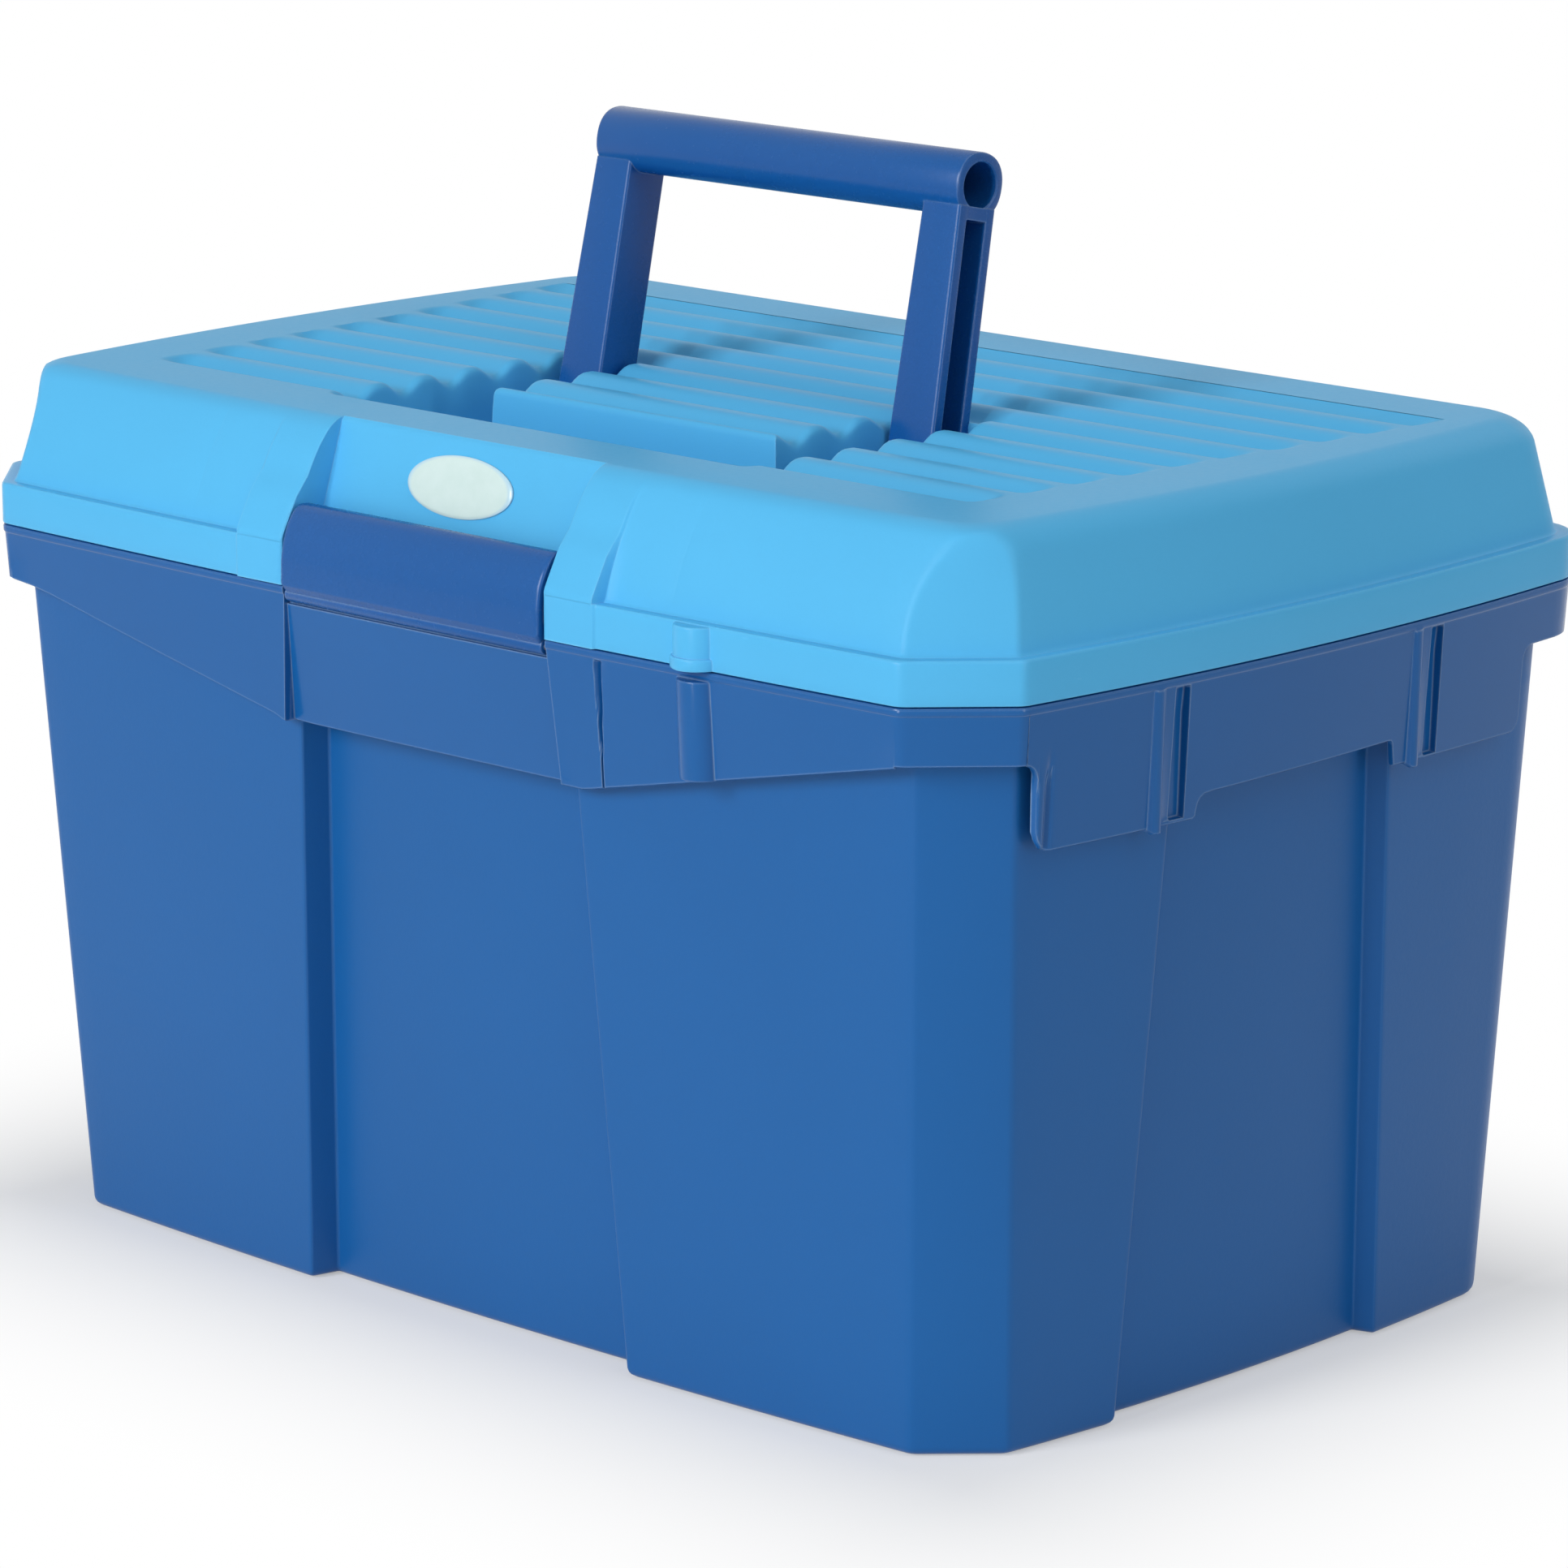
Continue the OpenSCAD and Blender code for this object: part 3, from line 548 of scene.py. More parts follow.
@dataclass(frozen=True)
class Film:
    """Blank label: pale face with a slightly darker border, under a clear domed film."""

    name: str
    centre: tuple[float, float, float]
    width: float
    height: float

    def build(self) -> bpy.types.Material:
        """Makes the material.

        Returns:
            It.
        """
        made, graph = new_material(self.name)
        place = graph.node("ShaderNodeTexCoord", output="Object")
        x, _, z = graph.axes(place)
        across = (x - self.centre[0] * MM) / (self.width / 2 * MM)
        up = (z - self.centre[2] * MM) / (self.height / 2 * MM)
        border = (((across * across + up * up).root() - 0.9) * 14.0).unit()
        mottle = graph.noise(place, 260.0, 3.0)
        face = graph.mix(mottle, linear(196, 220, 216), linear(208, 228, 226))
        shader = graph.node("ShaderNodeBsdfPrincipled", None, {
            "Base Color": graph.mix(border, face, linear(176, 212, 228)),
            "Roughness": 0.2 + mottle * 0.08, "Normal": graph.bump(mottle, 0.06, 0.0001),
            "Coat Weight": 0.4, "Coat Roughness": 0.08})
        graph.surface(shader)
        return made


class Wall(Enum):
    """The stretches of a plan."""

    FRONT = 0
    RIGHT = 1
    BACK = 2
    LEFT = 3
    CORNER = 4

    def of(self, walls: Array) -> Array:
        """True at the stations of this wall."""
        return walls == self.value


def on_sides(walls: Array) -> Array:
    """True at the stations of both side walls."""
    return Wall.LEFT.of(walls) | Wall.RIGHT.of(walls)


@dataclass
class Plan:
    """Plan of a bowed box with chamfered front corners and rounded rear corners.

    Its sizes are distances from the middle, the chamfer's leg, the rear radius and the swells.
    """

    x: float
    front: float
    back: float
    chamfer: float
    radius: float
    bow_front: float
    bow_side: float
    fillet: float = 2.2

    def inset(self, off: float) -> "Plan":
        """The same plan moved inwards."""
        return Plan(self.x - off, self.front - off, self.back - off,
                    max(0.2, self.chamfer - off * (2 - math.sqrt(2))), max(0.3, self.radius - off),
                    self.bow_front, self.bow_side, self.fillet)

    def line(self, front_xs: Array, side_ys: Array,
             back_xs: Optional[Array] = None) -> tuple[Array, Array, Array]:
        """Points along the plan, anticlockwise from the front's left end.

        Args:
            front_xs: stations across the front, clear of its ends.
            side_ys: stations along each side, clear of its ends.
            back_xs: stations along the back, from right to left, or None for even ones.

        Returns:
            The points, the wall of each and its place along that wall.
        """
        cut = min(self.fillet, 0.4 * self.chamfer * math.sqrt(2))
        half = self.x - self.chamfer
        y0, y1 = -self.front + self.chamfer, self.back - self.radius
        xs = np.concatenate([spread(-half + cut, front_xs[0], 7)[:-1], front_xs,
                             spread(front_xs[-1], half - cut, 7)[1:]])
        ys = np.concatenate([spread(y0 + cut, side_ys[0], 3)[:-1], side_ys,
                             spread(side_ys[-1], y1, 4)[1:]])
        front = np.column_stack([xs, -self.front - self.bow_front * (1 - (xs / half) ** 2)])
        mid, reach = (y0 + y1) / 2, (y1 - y0) / 2
        side = np.column_stack([self.x + self.bow_side * (1 - ((ys - mid) / reach) ** 2), ys])
        slope = cut / math.sqrt(2)
        near, far = (half, -self.front), (self.x, y0)
        first = self._curve(front[-1], near, (near[0] + slope, near[1] + slope))
        second = self._curve((far[0] - slope, far[1] - slope), far, side[0])
        turn = arc_points((self.x - self.radius, y1), self.radius, 0, 90, 10)[1:]
        even = spread(self.x - self.radius, -self.x + self.radius, 22)[1:-1]
        bs = even if back_xs is None else back_xs
        back = np.column_stack([bs, np.full(len(bs), self.back)])
        right = np.concatenate([first, second, side, turn])
        ends = len(first) + len(second), len(turn)
        walls = np.concatenate([
            np.full(len(xs), Wall.FRONT.value), np.full(ends[0], Wall.CORNER.value),
            np.full(len(ys), Wall.RIGHT.value), np.full(ends[1], Wall.CORNER.value),
            np.full(len(bs), Wall.BACK.value), np.full(ends[1], Wall.CORNER.value),
            np.full(len(ys), Wall.LEFT.value), np.full(ends[0], Wall.CORNER.value)])
        along = np.concatenate([np.zeros(ends[0]), ys, np.zeros(ends[1])])
        points = np.concatenate([front, right, back, right[::-1] * [-1, 1]])
        places = np.concatenate([xs, along, bs, along[::-1]])
        return points, walls, places

    @staticmethod
    def _curve(start: Sequence[float], bend: Sequence[float], end: Sequence[float]) -> Array:
        """Points of a rounded corner.

        Args:
            start: where it begins, which is left out.
            bend: its corner.
            end: where it ends.

        Returns:
            The points.
        """
        a, b, c = (np.array(p, float) for p in (start, bend, end))
        t = np.array([0.25, 0.5, 0.75, 1.0])[:, None]
        return (1 - t) ** 2 * a + 2 * t * (1 - t) * b + t * t * c


def push(points: Array, walls: Array, depth: Array) -> Array:
    """Moves points of the straight walls inwards.

    Args:
        points: x, y of each.
        walls: wall of each.
        depth: how far each goes in.

    Returns:
        The moved points.
    """
    made = points.copy()
    made[:, 1] += depth * Wall.FRONT.of(walls) - depth * Wall.BACK.of(walls)
    made[:, 0] += depth * Wall.LEFT.of(walls) - depth * Wall.RIGHT.of(walls)
    return made


def raised(points: Array, z: Union[float, Array]) -> Array:
    """Adds the height to x, y points."""
    return np.column_stack([points, np.broadcast_to(z, len(points))])


def rounded(corners: Sequence[Sequence[float]], radii: Sequence[float], count: int = 4) -> Array:
    """Closed outline with rounded corners.

    Args:
        corners: its corners.
        radii: how far each rounding reaches along both edges.
        count: points in each rounding.

    Returns:
        The points.
    """
    made = []
    for i, r in enumerate(radii):
        c, a, b = (np.array(corners[k % len(corners)], float) for k in (i, i - 1, i + 1))
        p = c + (a - c) / np.linalg.norm(a - c) * r
        q = c + (b - c) / np.linalg.norm(b - c) * r
        for t in spread(0, 1, count) if r > 0 else [0.5]:
            made.append((1 - t) ** 2 * p + 2 * t * (1 - t) * c + t * t * q)
    return np.array(made)


def dress(made: bpy.types.Object, material: bpy.types.Material, body: str,
          nodes: Sequence[str] = ()) -> None:
    """Gives a piece its material and its place in the assembly.

    Args:
        made: the piece.
        material: its look.
        body: the body that it rides on.
        nodes: the CAD nodes that it stands for.
    """
    made.data.materials.clear()
    made.data.materials.append(material)
    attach(made, body)
    if nodes:
        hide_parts(*nodes)
    LOG.info("%s: %d faces on %s", made.name, len(made.data.polygons), body)


@dataclass
class Rim:
    """Plan of the joint between tub and lid, which both mouldings share."""

    half_width: float = 194.0
    half_depth: float = 125.4
    chamfer: float = 22.0
    radius: float = 18.0
    bow_front: float = 3.8
    bow_side: float = 6.0
    height: float = 200.0
    bay_half: float = 50.3

    def plan(self, off: float = 0.0) -> Plan:
        """The rim's plan, moved inwards by off."""
        return Plan(self.half_width, self.half_depth, self.half_depth, self.chamfer, self.radius,
                    self.bow_front, self.bow_side).inset(off)

    @property
    def face(self) -> float:
        """Distance of the front face from the middle, at the latch."""
        return self.half_depth + self.bow_front


@dataclass(frozen=True)
class Hinge:
    """Barrels of the two hinges at the back."""

    x: float = 112.0
    y: float = 132.0
    z: float = 199.0
    radius: float = 4.8

    def add(self, skin: Skin, angles: tuple[float, float], root: Sequence[Sequence[float]],
            middles: Sequence[float], half: float) -> None:
        """Adds barrels to a moulding.

        Args:
            skin: the moulding.
            angles: where the round part starts and stops, in degrees.
            root: y, z points that tie a barrel to the wall.
            middles: middle of each barrel, left to right.
            half: half the width of each.
        """
        outline = arc_points((self.y, self.z), self.radius, *angles, 22)
        for middle in middles:
            skin.bar(np.concatenate([outline, root]), middle - half, middle + half, 0.4)


@dataclass
class RibField:
    """Grooves across the lid's top, sunk by a node tree into a flat field."""

    pitch: float = 17.6
    depth: float = 3.5
    first: float = -74.2
    count: int = 10
    half_front: float = 155.0
    half_rear: float = 168.0
    end: float = 9.0
    width: float = 0.46
    top: float = 243.2

    def tree(self, material: bpy.types.Material) -> bpy.types.NodeTree:
        """Node tree that lowers a mesh along each groove.

        Args:
            material: set on the result.

        Returns:
            The tree, with the field's sizes as named inputs.
        """
        tree = bpy.data.node_groups.new("rib_grooves", "GeometryNodeTree")
        face = tree.interface
        face.new_socket(name="Geometry", in_out="INPUT", socket_type="NodeSocketGeometry")
        for name, value in self.inputs().items():
            given = face.new_socket(name=name, in_out="INPUT", socket_type="NodeSocketFloat")
            given.default_value = value
        face.new_socket(name="Geometry", in_out="OUTPUT", socket_type="NodeSocketGeometry")
        graph = Graph(tree)
        entry = graph.node("NodeGroupInput").socket.node
        given = {s.name: Term(graph, s) for s in entry.outputs if s.name}
        place = graph.node("GeometryNodeInputPosition")
        x, y, z = graph.axes(place)
        pitch, last = given["Pitch"], given["Count"] - 1.0
        step = ((y - given["First"]) / pitch).whole().most(0.0).least(last)
        across = (abs(y - given["First"] - step * pitch) / (pitch * given["Width"])).least(1.0)
        hollow = (across * (math.pi / 2)).cosine() ** 2.4
        half = given["Half front"] + (given["Half rear"] - given["Half front"]) * step / last
        inside = ((half - abs(x)) / given["End"]).unit()
        scoop = (1.0 - (1.0 - inside) ** 2.0).root()
        standing = ((z - given["Top"] + 0.008) / 0.004).unit()
        drop = given["Depth"] * hollow * scoop * standing
        offset = graph.node("ShaderNodeCombineXYZ", None, {"Z": drop * -1.0})
        moved = graph.node("GeometryNodeSetPosition", None,
                           {"Geometry": given["Geometry"], "Offset": offset})
        real = graph.node("GeometryNodeRealizeInstances", None, {"Geometry": moved})
        done = graph.node("GeometryNodeSetMaterial", None, {"Geometry": real, "Material": material})
        graph.node("NodeGroupOutput", None, {"Geometry": done})
        return tree

    def inputs(self) -> dict[str, float]:
        """Named inputs of the tree, in metres where they are lengths.

        Returns:
            Their values.
        """
        lengths = {"Pitch": self.pitch, "Depth": self.depth, "First": self.first, "End": self.end,
                   "Half front": self.half_front, "Half rear": self.half_rear, "Top": self.top}
        return {**{name: value * MM for name, value in lengths.items()},
                "Count": float(self.count), "Width": self.width}

    def sink(self, points: Array, material: bpy.types.Material) -> Array:
        """Runs the tree over a grid of points.

        Args:
            points: rows x columns x 3, in millimetres.
            material: set on the result.

        Returns:
            The moved points.
        """
        flat = Skin()
        flat.grid(points, upward)
        mesh = bpy.data.meshes.new("field")
        mesh.from_pydata((np.concatenate(flat.points) * MM).tolist(), [], flat.faces)
        holder = bpy.data.objects.new("field", mesh)
        bpy.context.scene.collection.objects.link(holder)
        modifier = holder.modifiers.new("grooves", "NODES")
        modifier.node_group = self.tree(material)
        for item in modifier.node_group.interface.items_tree:
            if item.in_out == "INPUT" and item.name in self.inputs():
                modifier[item.identifier] = self.inputs()[item.name]
        scene = bpy.context.evaluated_depsgraph_get()
        plain = bpy.data.meshes.new_from_object(holder.evaluated_get(scene))
        moved = np.zeros(len(plain.vertices) * 3)
        plain.vertices.foreach_get("co", moved)
        holder.modifiers.clear()
        bpy.data.objects.remove(holder)
        return moved.reshape(points.shape) / MM


@dataclass
class Lid:
    """The lid: rim band, leaning dome with corner facets, latch frame, ribbed top and handle recess."""

    rim: Rim
    ribs: RibField = field(default_factory=RibField)
    hinge: Hinge = Hinge()
    foot: float = 200.3
    band_top: float = 212.0
    ledge: float = 3.8
    wall: float = 2.2
    skin: float = 2.4
    side_draft: float = 0.22
    back_draft: float = 0.12
    roll: float = 7.0
    front_roll: float = 3.5
    facet_top: float = 6.0
    curve: float = 85.0
    curve_lean: float = 15.0
    frame_half: float = 68.6
    catch_depth: float = 9.0
    catch_top: float = 217.0
    floor_depth: float = 14.6
    floor_lean: float = 0.32
    recess_drop: float = 22.0
    pad_half: float = 54.0
    channel_out: float = 79.5
    trough_front: float = -83.5
    pad_front: float = -47.0
    recess_back: float = 8.95
    hinge_half: float = 11.0
    post_x: float = 103.0
    post_r: float = 7.0
    field_x: float = 171.0
    field_front: float = -92.5
    field_back: float = 91.0
    roof_ys: tuple[float, float] = (-89.5, 90.5)
    crease_x: float = 92.0

    @property
    def top(self) -> float:
        """Height of the lid's highest face."""
        return self.ribs.top

    def dome(self, height: float, off: float = 0.0) -> Plan:
        """Plan of the dome.

        Args:
            height: how far above its foot.
            off: how far inside its outer face.

        Returns:
            The plan.
        """
        def roll(r: float) -> float:
            """Inset of a rounded top edge."""
            over = height - (self.top - self.band_top) + r
            return r - math.sqrt(max(0.0, r * r - over * over)) if over > 0 else 0.0

        lean = math.radians(self.curve_lean)
        s = min(1.0, math.sin(lean) + height / self.curve)
        front_in = self.curve * (math.cos(lean) - math.sqrt(1 - s * s)) + roll(self.front_roll)
        side_in = self.side_draft * height + roll(self.roll)
        back_in = self.back_draft * height + roll(self.roll)
        x, y = self.rim.half_width - self.ledge - off, self.rim.half_depth - self.ledge - off
        cut = 2 - math.sqrt(2)
        part = min(1.0, height / (self.top - self.band_top))
        leg = (self.rim.chamfer - self.ledge * cut) * math.sqrt(1 - part ** 2)
        return Plan(x - side_in, y - front_in, y - back_in,
                    max(0.4, max(self.facet_top, leg) - off * cut),
                    max(0.5, self.rim.radius - 2 - off), self.rim.bow_front, self.rim.bow_side,
                    fillet=1.5 + 2.5 * part ** 3)

    @property
    def front_xs(self) -> Array:
        """Stations across the front, closer together at the latch frame.

        Returns:
            The stations, from left to right.
        """
        bay = self.rim.bay_half + np.array([-0.6, -0.02, 0, 0.12, 0.4, 0.9])
        edge = self.frame_half + np.array([-0.8, -0.3, 0, 0.25, 0.5, 1.0])
        crease = self.crease_x + spread(-1, 1, 5)
        half = np.concatenate([[0, 8, 16, 24, 32, 40, 46], bay, [54, 58, 62, 65], edge,
                               [74, 80, 86], crease, [98, 104, 112, 120]])
        return np.concatenate([-half[:0:-1], half])

    @property
    def side_ys(self) -> Array:
        """Stations along the sides."""
        return spread(-89.5, 89, 26)

    def frame_y(self, z: float) -> float:
        """Front of the raised frame beside the latch.

        Args:
            z: height.

        Returns:
            Its place on Y.
        """
        up = [-self.band_top, 1, 2.2, 5.4, 12.2, 21.4, 29.5, self.top + 1 - self.band_top]
        back = [0, 0, 0.5, 2.2, 5.9, 14.3, 22, 24.5]
        return -self.rim.face + float(np.interp(z - self.band_top, up, back))

    def bay_y(self, z: float) -> float:
        """Catch face and sloping floor behind the latch flap.

        Args:
            z: height.

        Returns:
            Their place on Y.
        """
        over = z - self.catch_top
        floor = self.floor_depth + self.floor_lean * max(over, 0.0)
        share = float(np.clip(over / 1.5, 0, 1))
        return -self.rim.face + self.catch_depth + (floor - self.catch_depth) * share

    def shape_front(self, points: Array, walls: Array, places: Array, z: float, inner: float) -> Array:
        """Works the latch frame and the latch bay into one row.

        Args:
            points: the row's x, y points.
            walls: wall of each.
            places: place along the wall.
            z: the row's height.
            inner: wall thickness for an inner row, 0 for an outer one.

        Returns:
            The changed points.
        """
        made = points.copy()
        y = made[:, 1]
        front = Wall.FRONT.of(walls)
        x = np.abs(places)
        frame = self.frame_y(z) + inner
        weight = 1 - ease((x - self.frame_half + 0.4) / 1.1)
        lift = 0.8 * float(np.clip((self.top - 1.5 - z) / 6, 0, 1)) * (z > self.band_top + 0.5)
        y += np.where(front, (np.minimum(y - lift, frame) - y) * weight, 0.0)
        if inner == 0:
            fade = np.clip((z - self.band_top - 2) / 4, 0, 1) * np.clip((self.top - z) / 8, 0, 1)
            y += np.where(front, 0.15 * fade * np.clip(1 - np.abs(x - self.crease_x) / 0.8, 0, 1), 0.0)
        bay = self.rim.bay_half + inner
        round_in = 0.9
        soft = 1 - np.sqrt(1 - (1 - np.clip((x - bay) / round_in, 0, 1)) ** 2)
        y += np.where(front & (x > bay) & (x < bay + round_in), round_in * soft, 0.0)
        sunk = max(self.bay_y(z) + inner, frame)
        made[:, 1] = np.where(front & (x <= bay + 0.001), sunk, y)
        return made

    def rows(self) -> list[tuple[Plan, float]]:
        """Outer rows from the foot of the band to the top.

        Returns:
            The plan and height of each.
        """
        foot, band = self.foot, self.band_top
        made = [(self.rim.plan(off), z) for off, z in (
            (1.6, foot), (0.5, foot), (0.14, foot + 0.15), (0, foot + 0.5), (0, 204), (0, 208),
            (0, band - 1.1), (0.12, band - 0.5), (0.45, band - 0.12), (1.1, band), (2.9, band + 0.05))]
        made[-2][0].fillet = made[-1][0].fillet = 2.4
        for h in (0.0, 0.35, 0.9, 2, 3.5, 4.6, 4.9, 5.0, 6.5, 6.8, 9, 11.5, 14, 16.5, 19, 21, 23, 24.5,
                  25.8, 27, 28, 28.9, 29.6, 30.2, 30.65, 30.95, 31.15, 31.2):
            hollow = max(0.0, 0.9 - h) ** 2 * 0.6
            made.append((self.dome(h).inset(-hollow), band + h))
        return made

    def inner_rows(self) -> list[tuple[Plan, float]]:
        """Inner rows from the foot to the ceiling.

        Returns:
            The plan and height of each.
        """
        made = [(self.rim.plan(off), z) for off, z in (
            (1.6, self.foot), (self.wall, self.foot + 0.5), (self.wall, self.band_top - self.wall))]
        for h in (-2.0, 2, 5, 5.3, 7, 10, 14, 18, 22, self.ceiling - self.band_top):
            made.append((self.dome(max(0.0, h), self.wall), self.band_top + h))
        return made

    @property
    def ceiling(self) -> float:
        """Height of the lid's inner face."""
        return self.top - self.ribs.depth - self.skin

    def into(self, x: Array, y: Array, grow: float = 0.0) -> Array:
        """How far a point is inside the handle recess, negative outside.

        Args:
            x: across.
            y: front to back.
            grow: widens the recess.

        Returns:
            The distance to its edge.
        """
        def box(x0: float, x1: float, y0: float, y1: float) -> Array:
            """Distance into one rectangle with rounded corners."""
            r = 2.5
            dx = np.maximum(x0 - ax, ax - x1) + r
            dy = np.maximum(y0 - y, y - y1) + r
            far = np.hypot(np.maximum(dx, 0), np.maximum(dy, 0)) + np.minimum(np.maximum(dx, dy), 0)
            return r - far

        ax = np.abs(x)
        out, front = self.channel_out + grow, self.trough_front - grow
        trough = box(-out, out, front, self.pad_front + grow)
        return np.maximum(trough, box(self.pad_half - grow, out, front, self.recess_back + grow))

    def top_field(self, material: bpy.types.Material) -> Array:
        """Points of the ribbed top with its recess.

        Args:
            material: the lid's.

        Returns:
            Rows x columns x 3.
        """
        step = np.array([-2.7, -2.2, -1.7, -1.2, -0.8, -0.45, -0.2, 0.0, 0.25, 0.5, 0.75, 1.0, 1.4,
                         2.0, 2.8])
        right = np.concatenate([self.pad_half + step, self.channel_out - step])
        ends = spread(140, self.field_x, 26)
        fill = np.concatenate([spread(3, 50, 12), spread(59, 75, 5), spread(84, 136, 13)])
        xs = np.unique(np.round(np.concatenate([[0.0], right, -right, ends, -ends, fill, -fill]), 3))
        walls = np.concatenate([self.trough_front + step, self.pad_front - step, self.recess_back - step])
        ys = np.concatenate([walls, np.arange(self.trough_front + 4, self.field_back - 6, 1.36)])
        borders = [self.field_front, -88.5, self.field_back, 87.5]
        ys = np.unique(np.round(np.concatenate([borders, ys]), 3))
        ys = ys[np.concatenate([[True], np.diff(ys) > 0.12])]
        x, y = np.meshgrid(xs, ys)
        deep = self.into(x, y)
        radius = 2.4
        edge = np.clip(deep + radius, 0, radius)
        drop = radius - np.sqrt(radius ** 2 - edge ** 2)
        wall = ease(deep / 0.9) * (self.recess_drop - radius - 1.6)
        foot = 1.6 * ease((deep - 0.5) / 2.2)
        z = self.top - drop - wall - foot
        return self.ribs.sink(np.dstack([x, y, z]), material)

    def ceiling_field(self) -> Array:
        """Points of the lid's inner face with the back of the recess.

        Returns:
            Rows x columns x 3.
        """
        step, wall = np.array([-0.2, 0.0, 0.3, 0.6]), self.wall
        right = np.concatenate([self.pad_half - wall + step, self.channel_out + wall - step,
                                [120, self.field_x]])
        xs = np.unique(np.concatenate([[0.0], right, -right]))
        ys = np.unique(np.concatenate([self.trough_front - wall + step, self.pad_front + wall - step,
                                       self.recess_back + wall - step, spread(*self.roof_ys, 9)]))
        x, y = np.meshgrid(xs, ys)
        deep = np.clip(self.into(x, y, self.wall) / 0.5, 0, 1)
        z = self.ceiling - deep * (self.ceiling - self.top + self.recess_drop + self.wall)
        return np.dstack([x, y, z])

    def ring(self, plan: Plan, z: float, inner: float) -> Array:
        """Points of one row of the lid's sides."""
        return raised(self.shape_front(*plan.line(self.front_xs, self.side_ys), z, inner), z)

    def build(self, material: bpy.types.Material) -> bpy.types.Object:
        """Makes the lid.

        Args:
            material: its plastic.

        Returns:
            The lid's object.
        """
        skin = Skin()
        outer = np.array([self.ring(plan, z, 0.0) for plan, z in self.rows()])
        inside = np.array([self.ring(plan, z, self.wall if z > self.foot + 0.1 else 0.0)
                           for plan, z in self.inner_rows()])
        skin.grid(outer, away, closed=True)
        skin.grid(inside, inward, closed=True)
        for edge, front, back, way in ((outer[-1], self.field_front, self.field_back, upward),
                                       (inside[-1], *self.roof_ys, downward)):
            border = edge.copy()
            border[:, :2] = np.clip(edge[:, :2], [-self.field_x, front], [self.field_x, back])
            skin.grid(np.array([edge, border]), way, closed=True)
        skin.grid(self.top_field(material), upward)
        skin.grid(self.ceiling_field(), downward)
        self.add_post(skin)
        self.add_knuckles(skin)
        return skin.build("lid_shell", angle=38)

    def post_arc(self, radius: float) -> Array:
        """Outline of the half round post.

        Args:
            radius: its radius.

        Returns:
            x, y points.
        """
        half = self.rim.half_width - self.rim.chamfer
        bow = self.rim.bow_front * (1 - (self.post_x / half) ** 2)
        y = self.post_r * 0.45 - self.rim.half_depth - bow
        return arc_points((self.post_x, y), radius, 180, 360, 25)

    def add_post(self, skin: Skin) -> None:
        """Adds the half round post beside the latch, with its wider foot."""
        skin.column(self.post_arc(self.post_r), self.foot + 0.2, self.band_top - 0.4, 0.7)
        skin.column(self.post_arc(self.post_r + 0.8), self.foot, self.foot + 3.2, 0.7)

    def add_knuckles(self, skin: Skin) -> None:
        """Adds the two hinge knuckles at the back."""
        wall = self.rim.half_depth - 1
        root = [[wall, self.band_top - 2], [wall, self.foot + 0.4]]
        self.hinge.add(skin, (-150, 78), root, (-self.hinge.x, self.hinge.x), self.hinge_half)


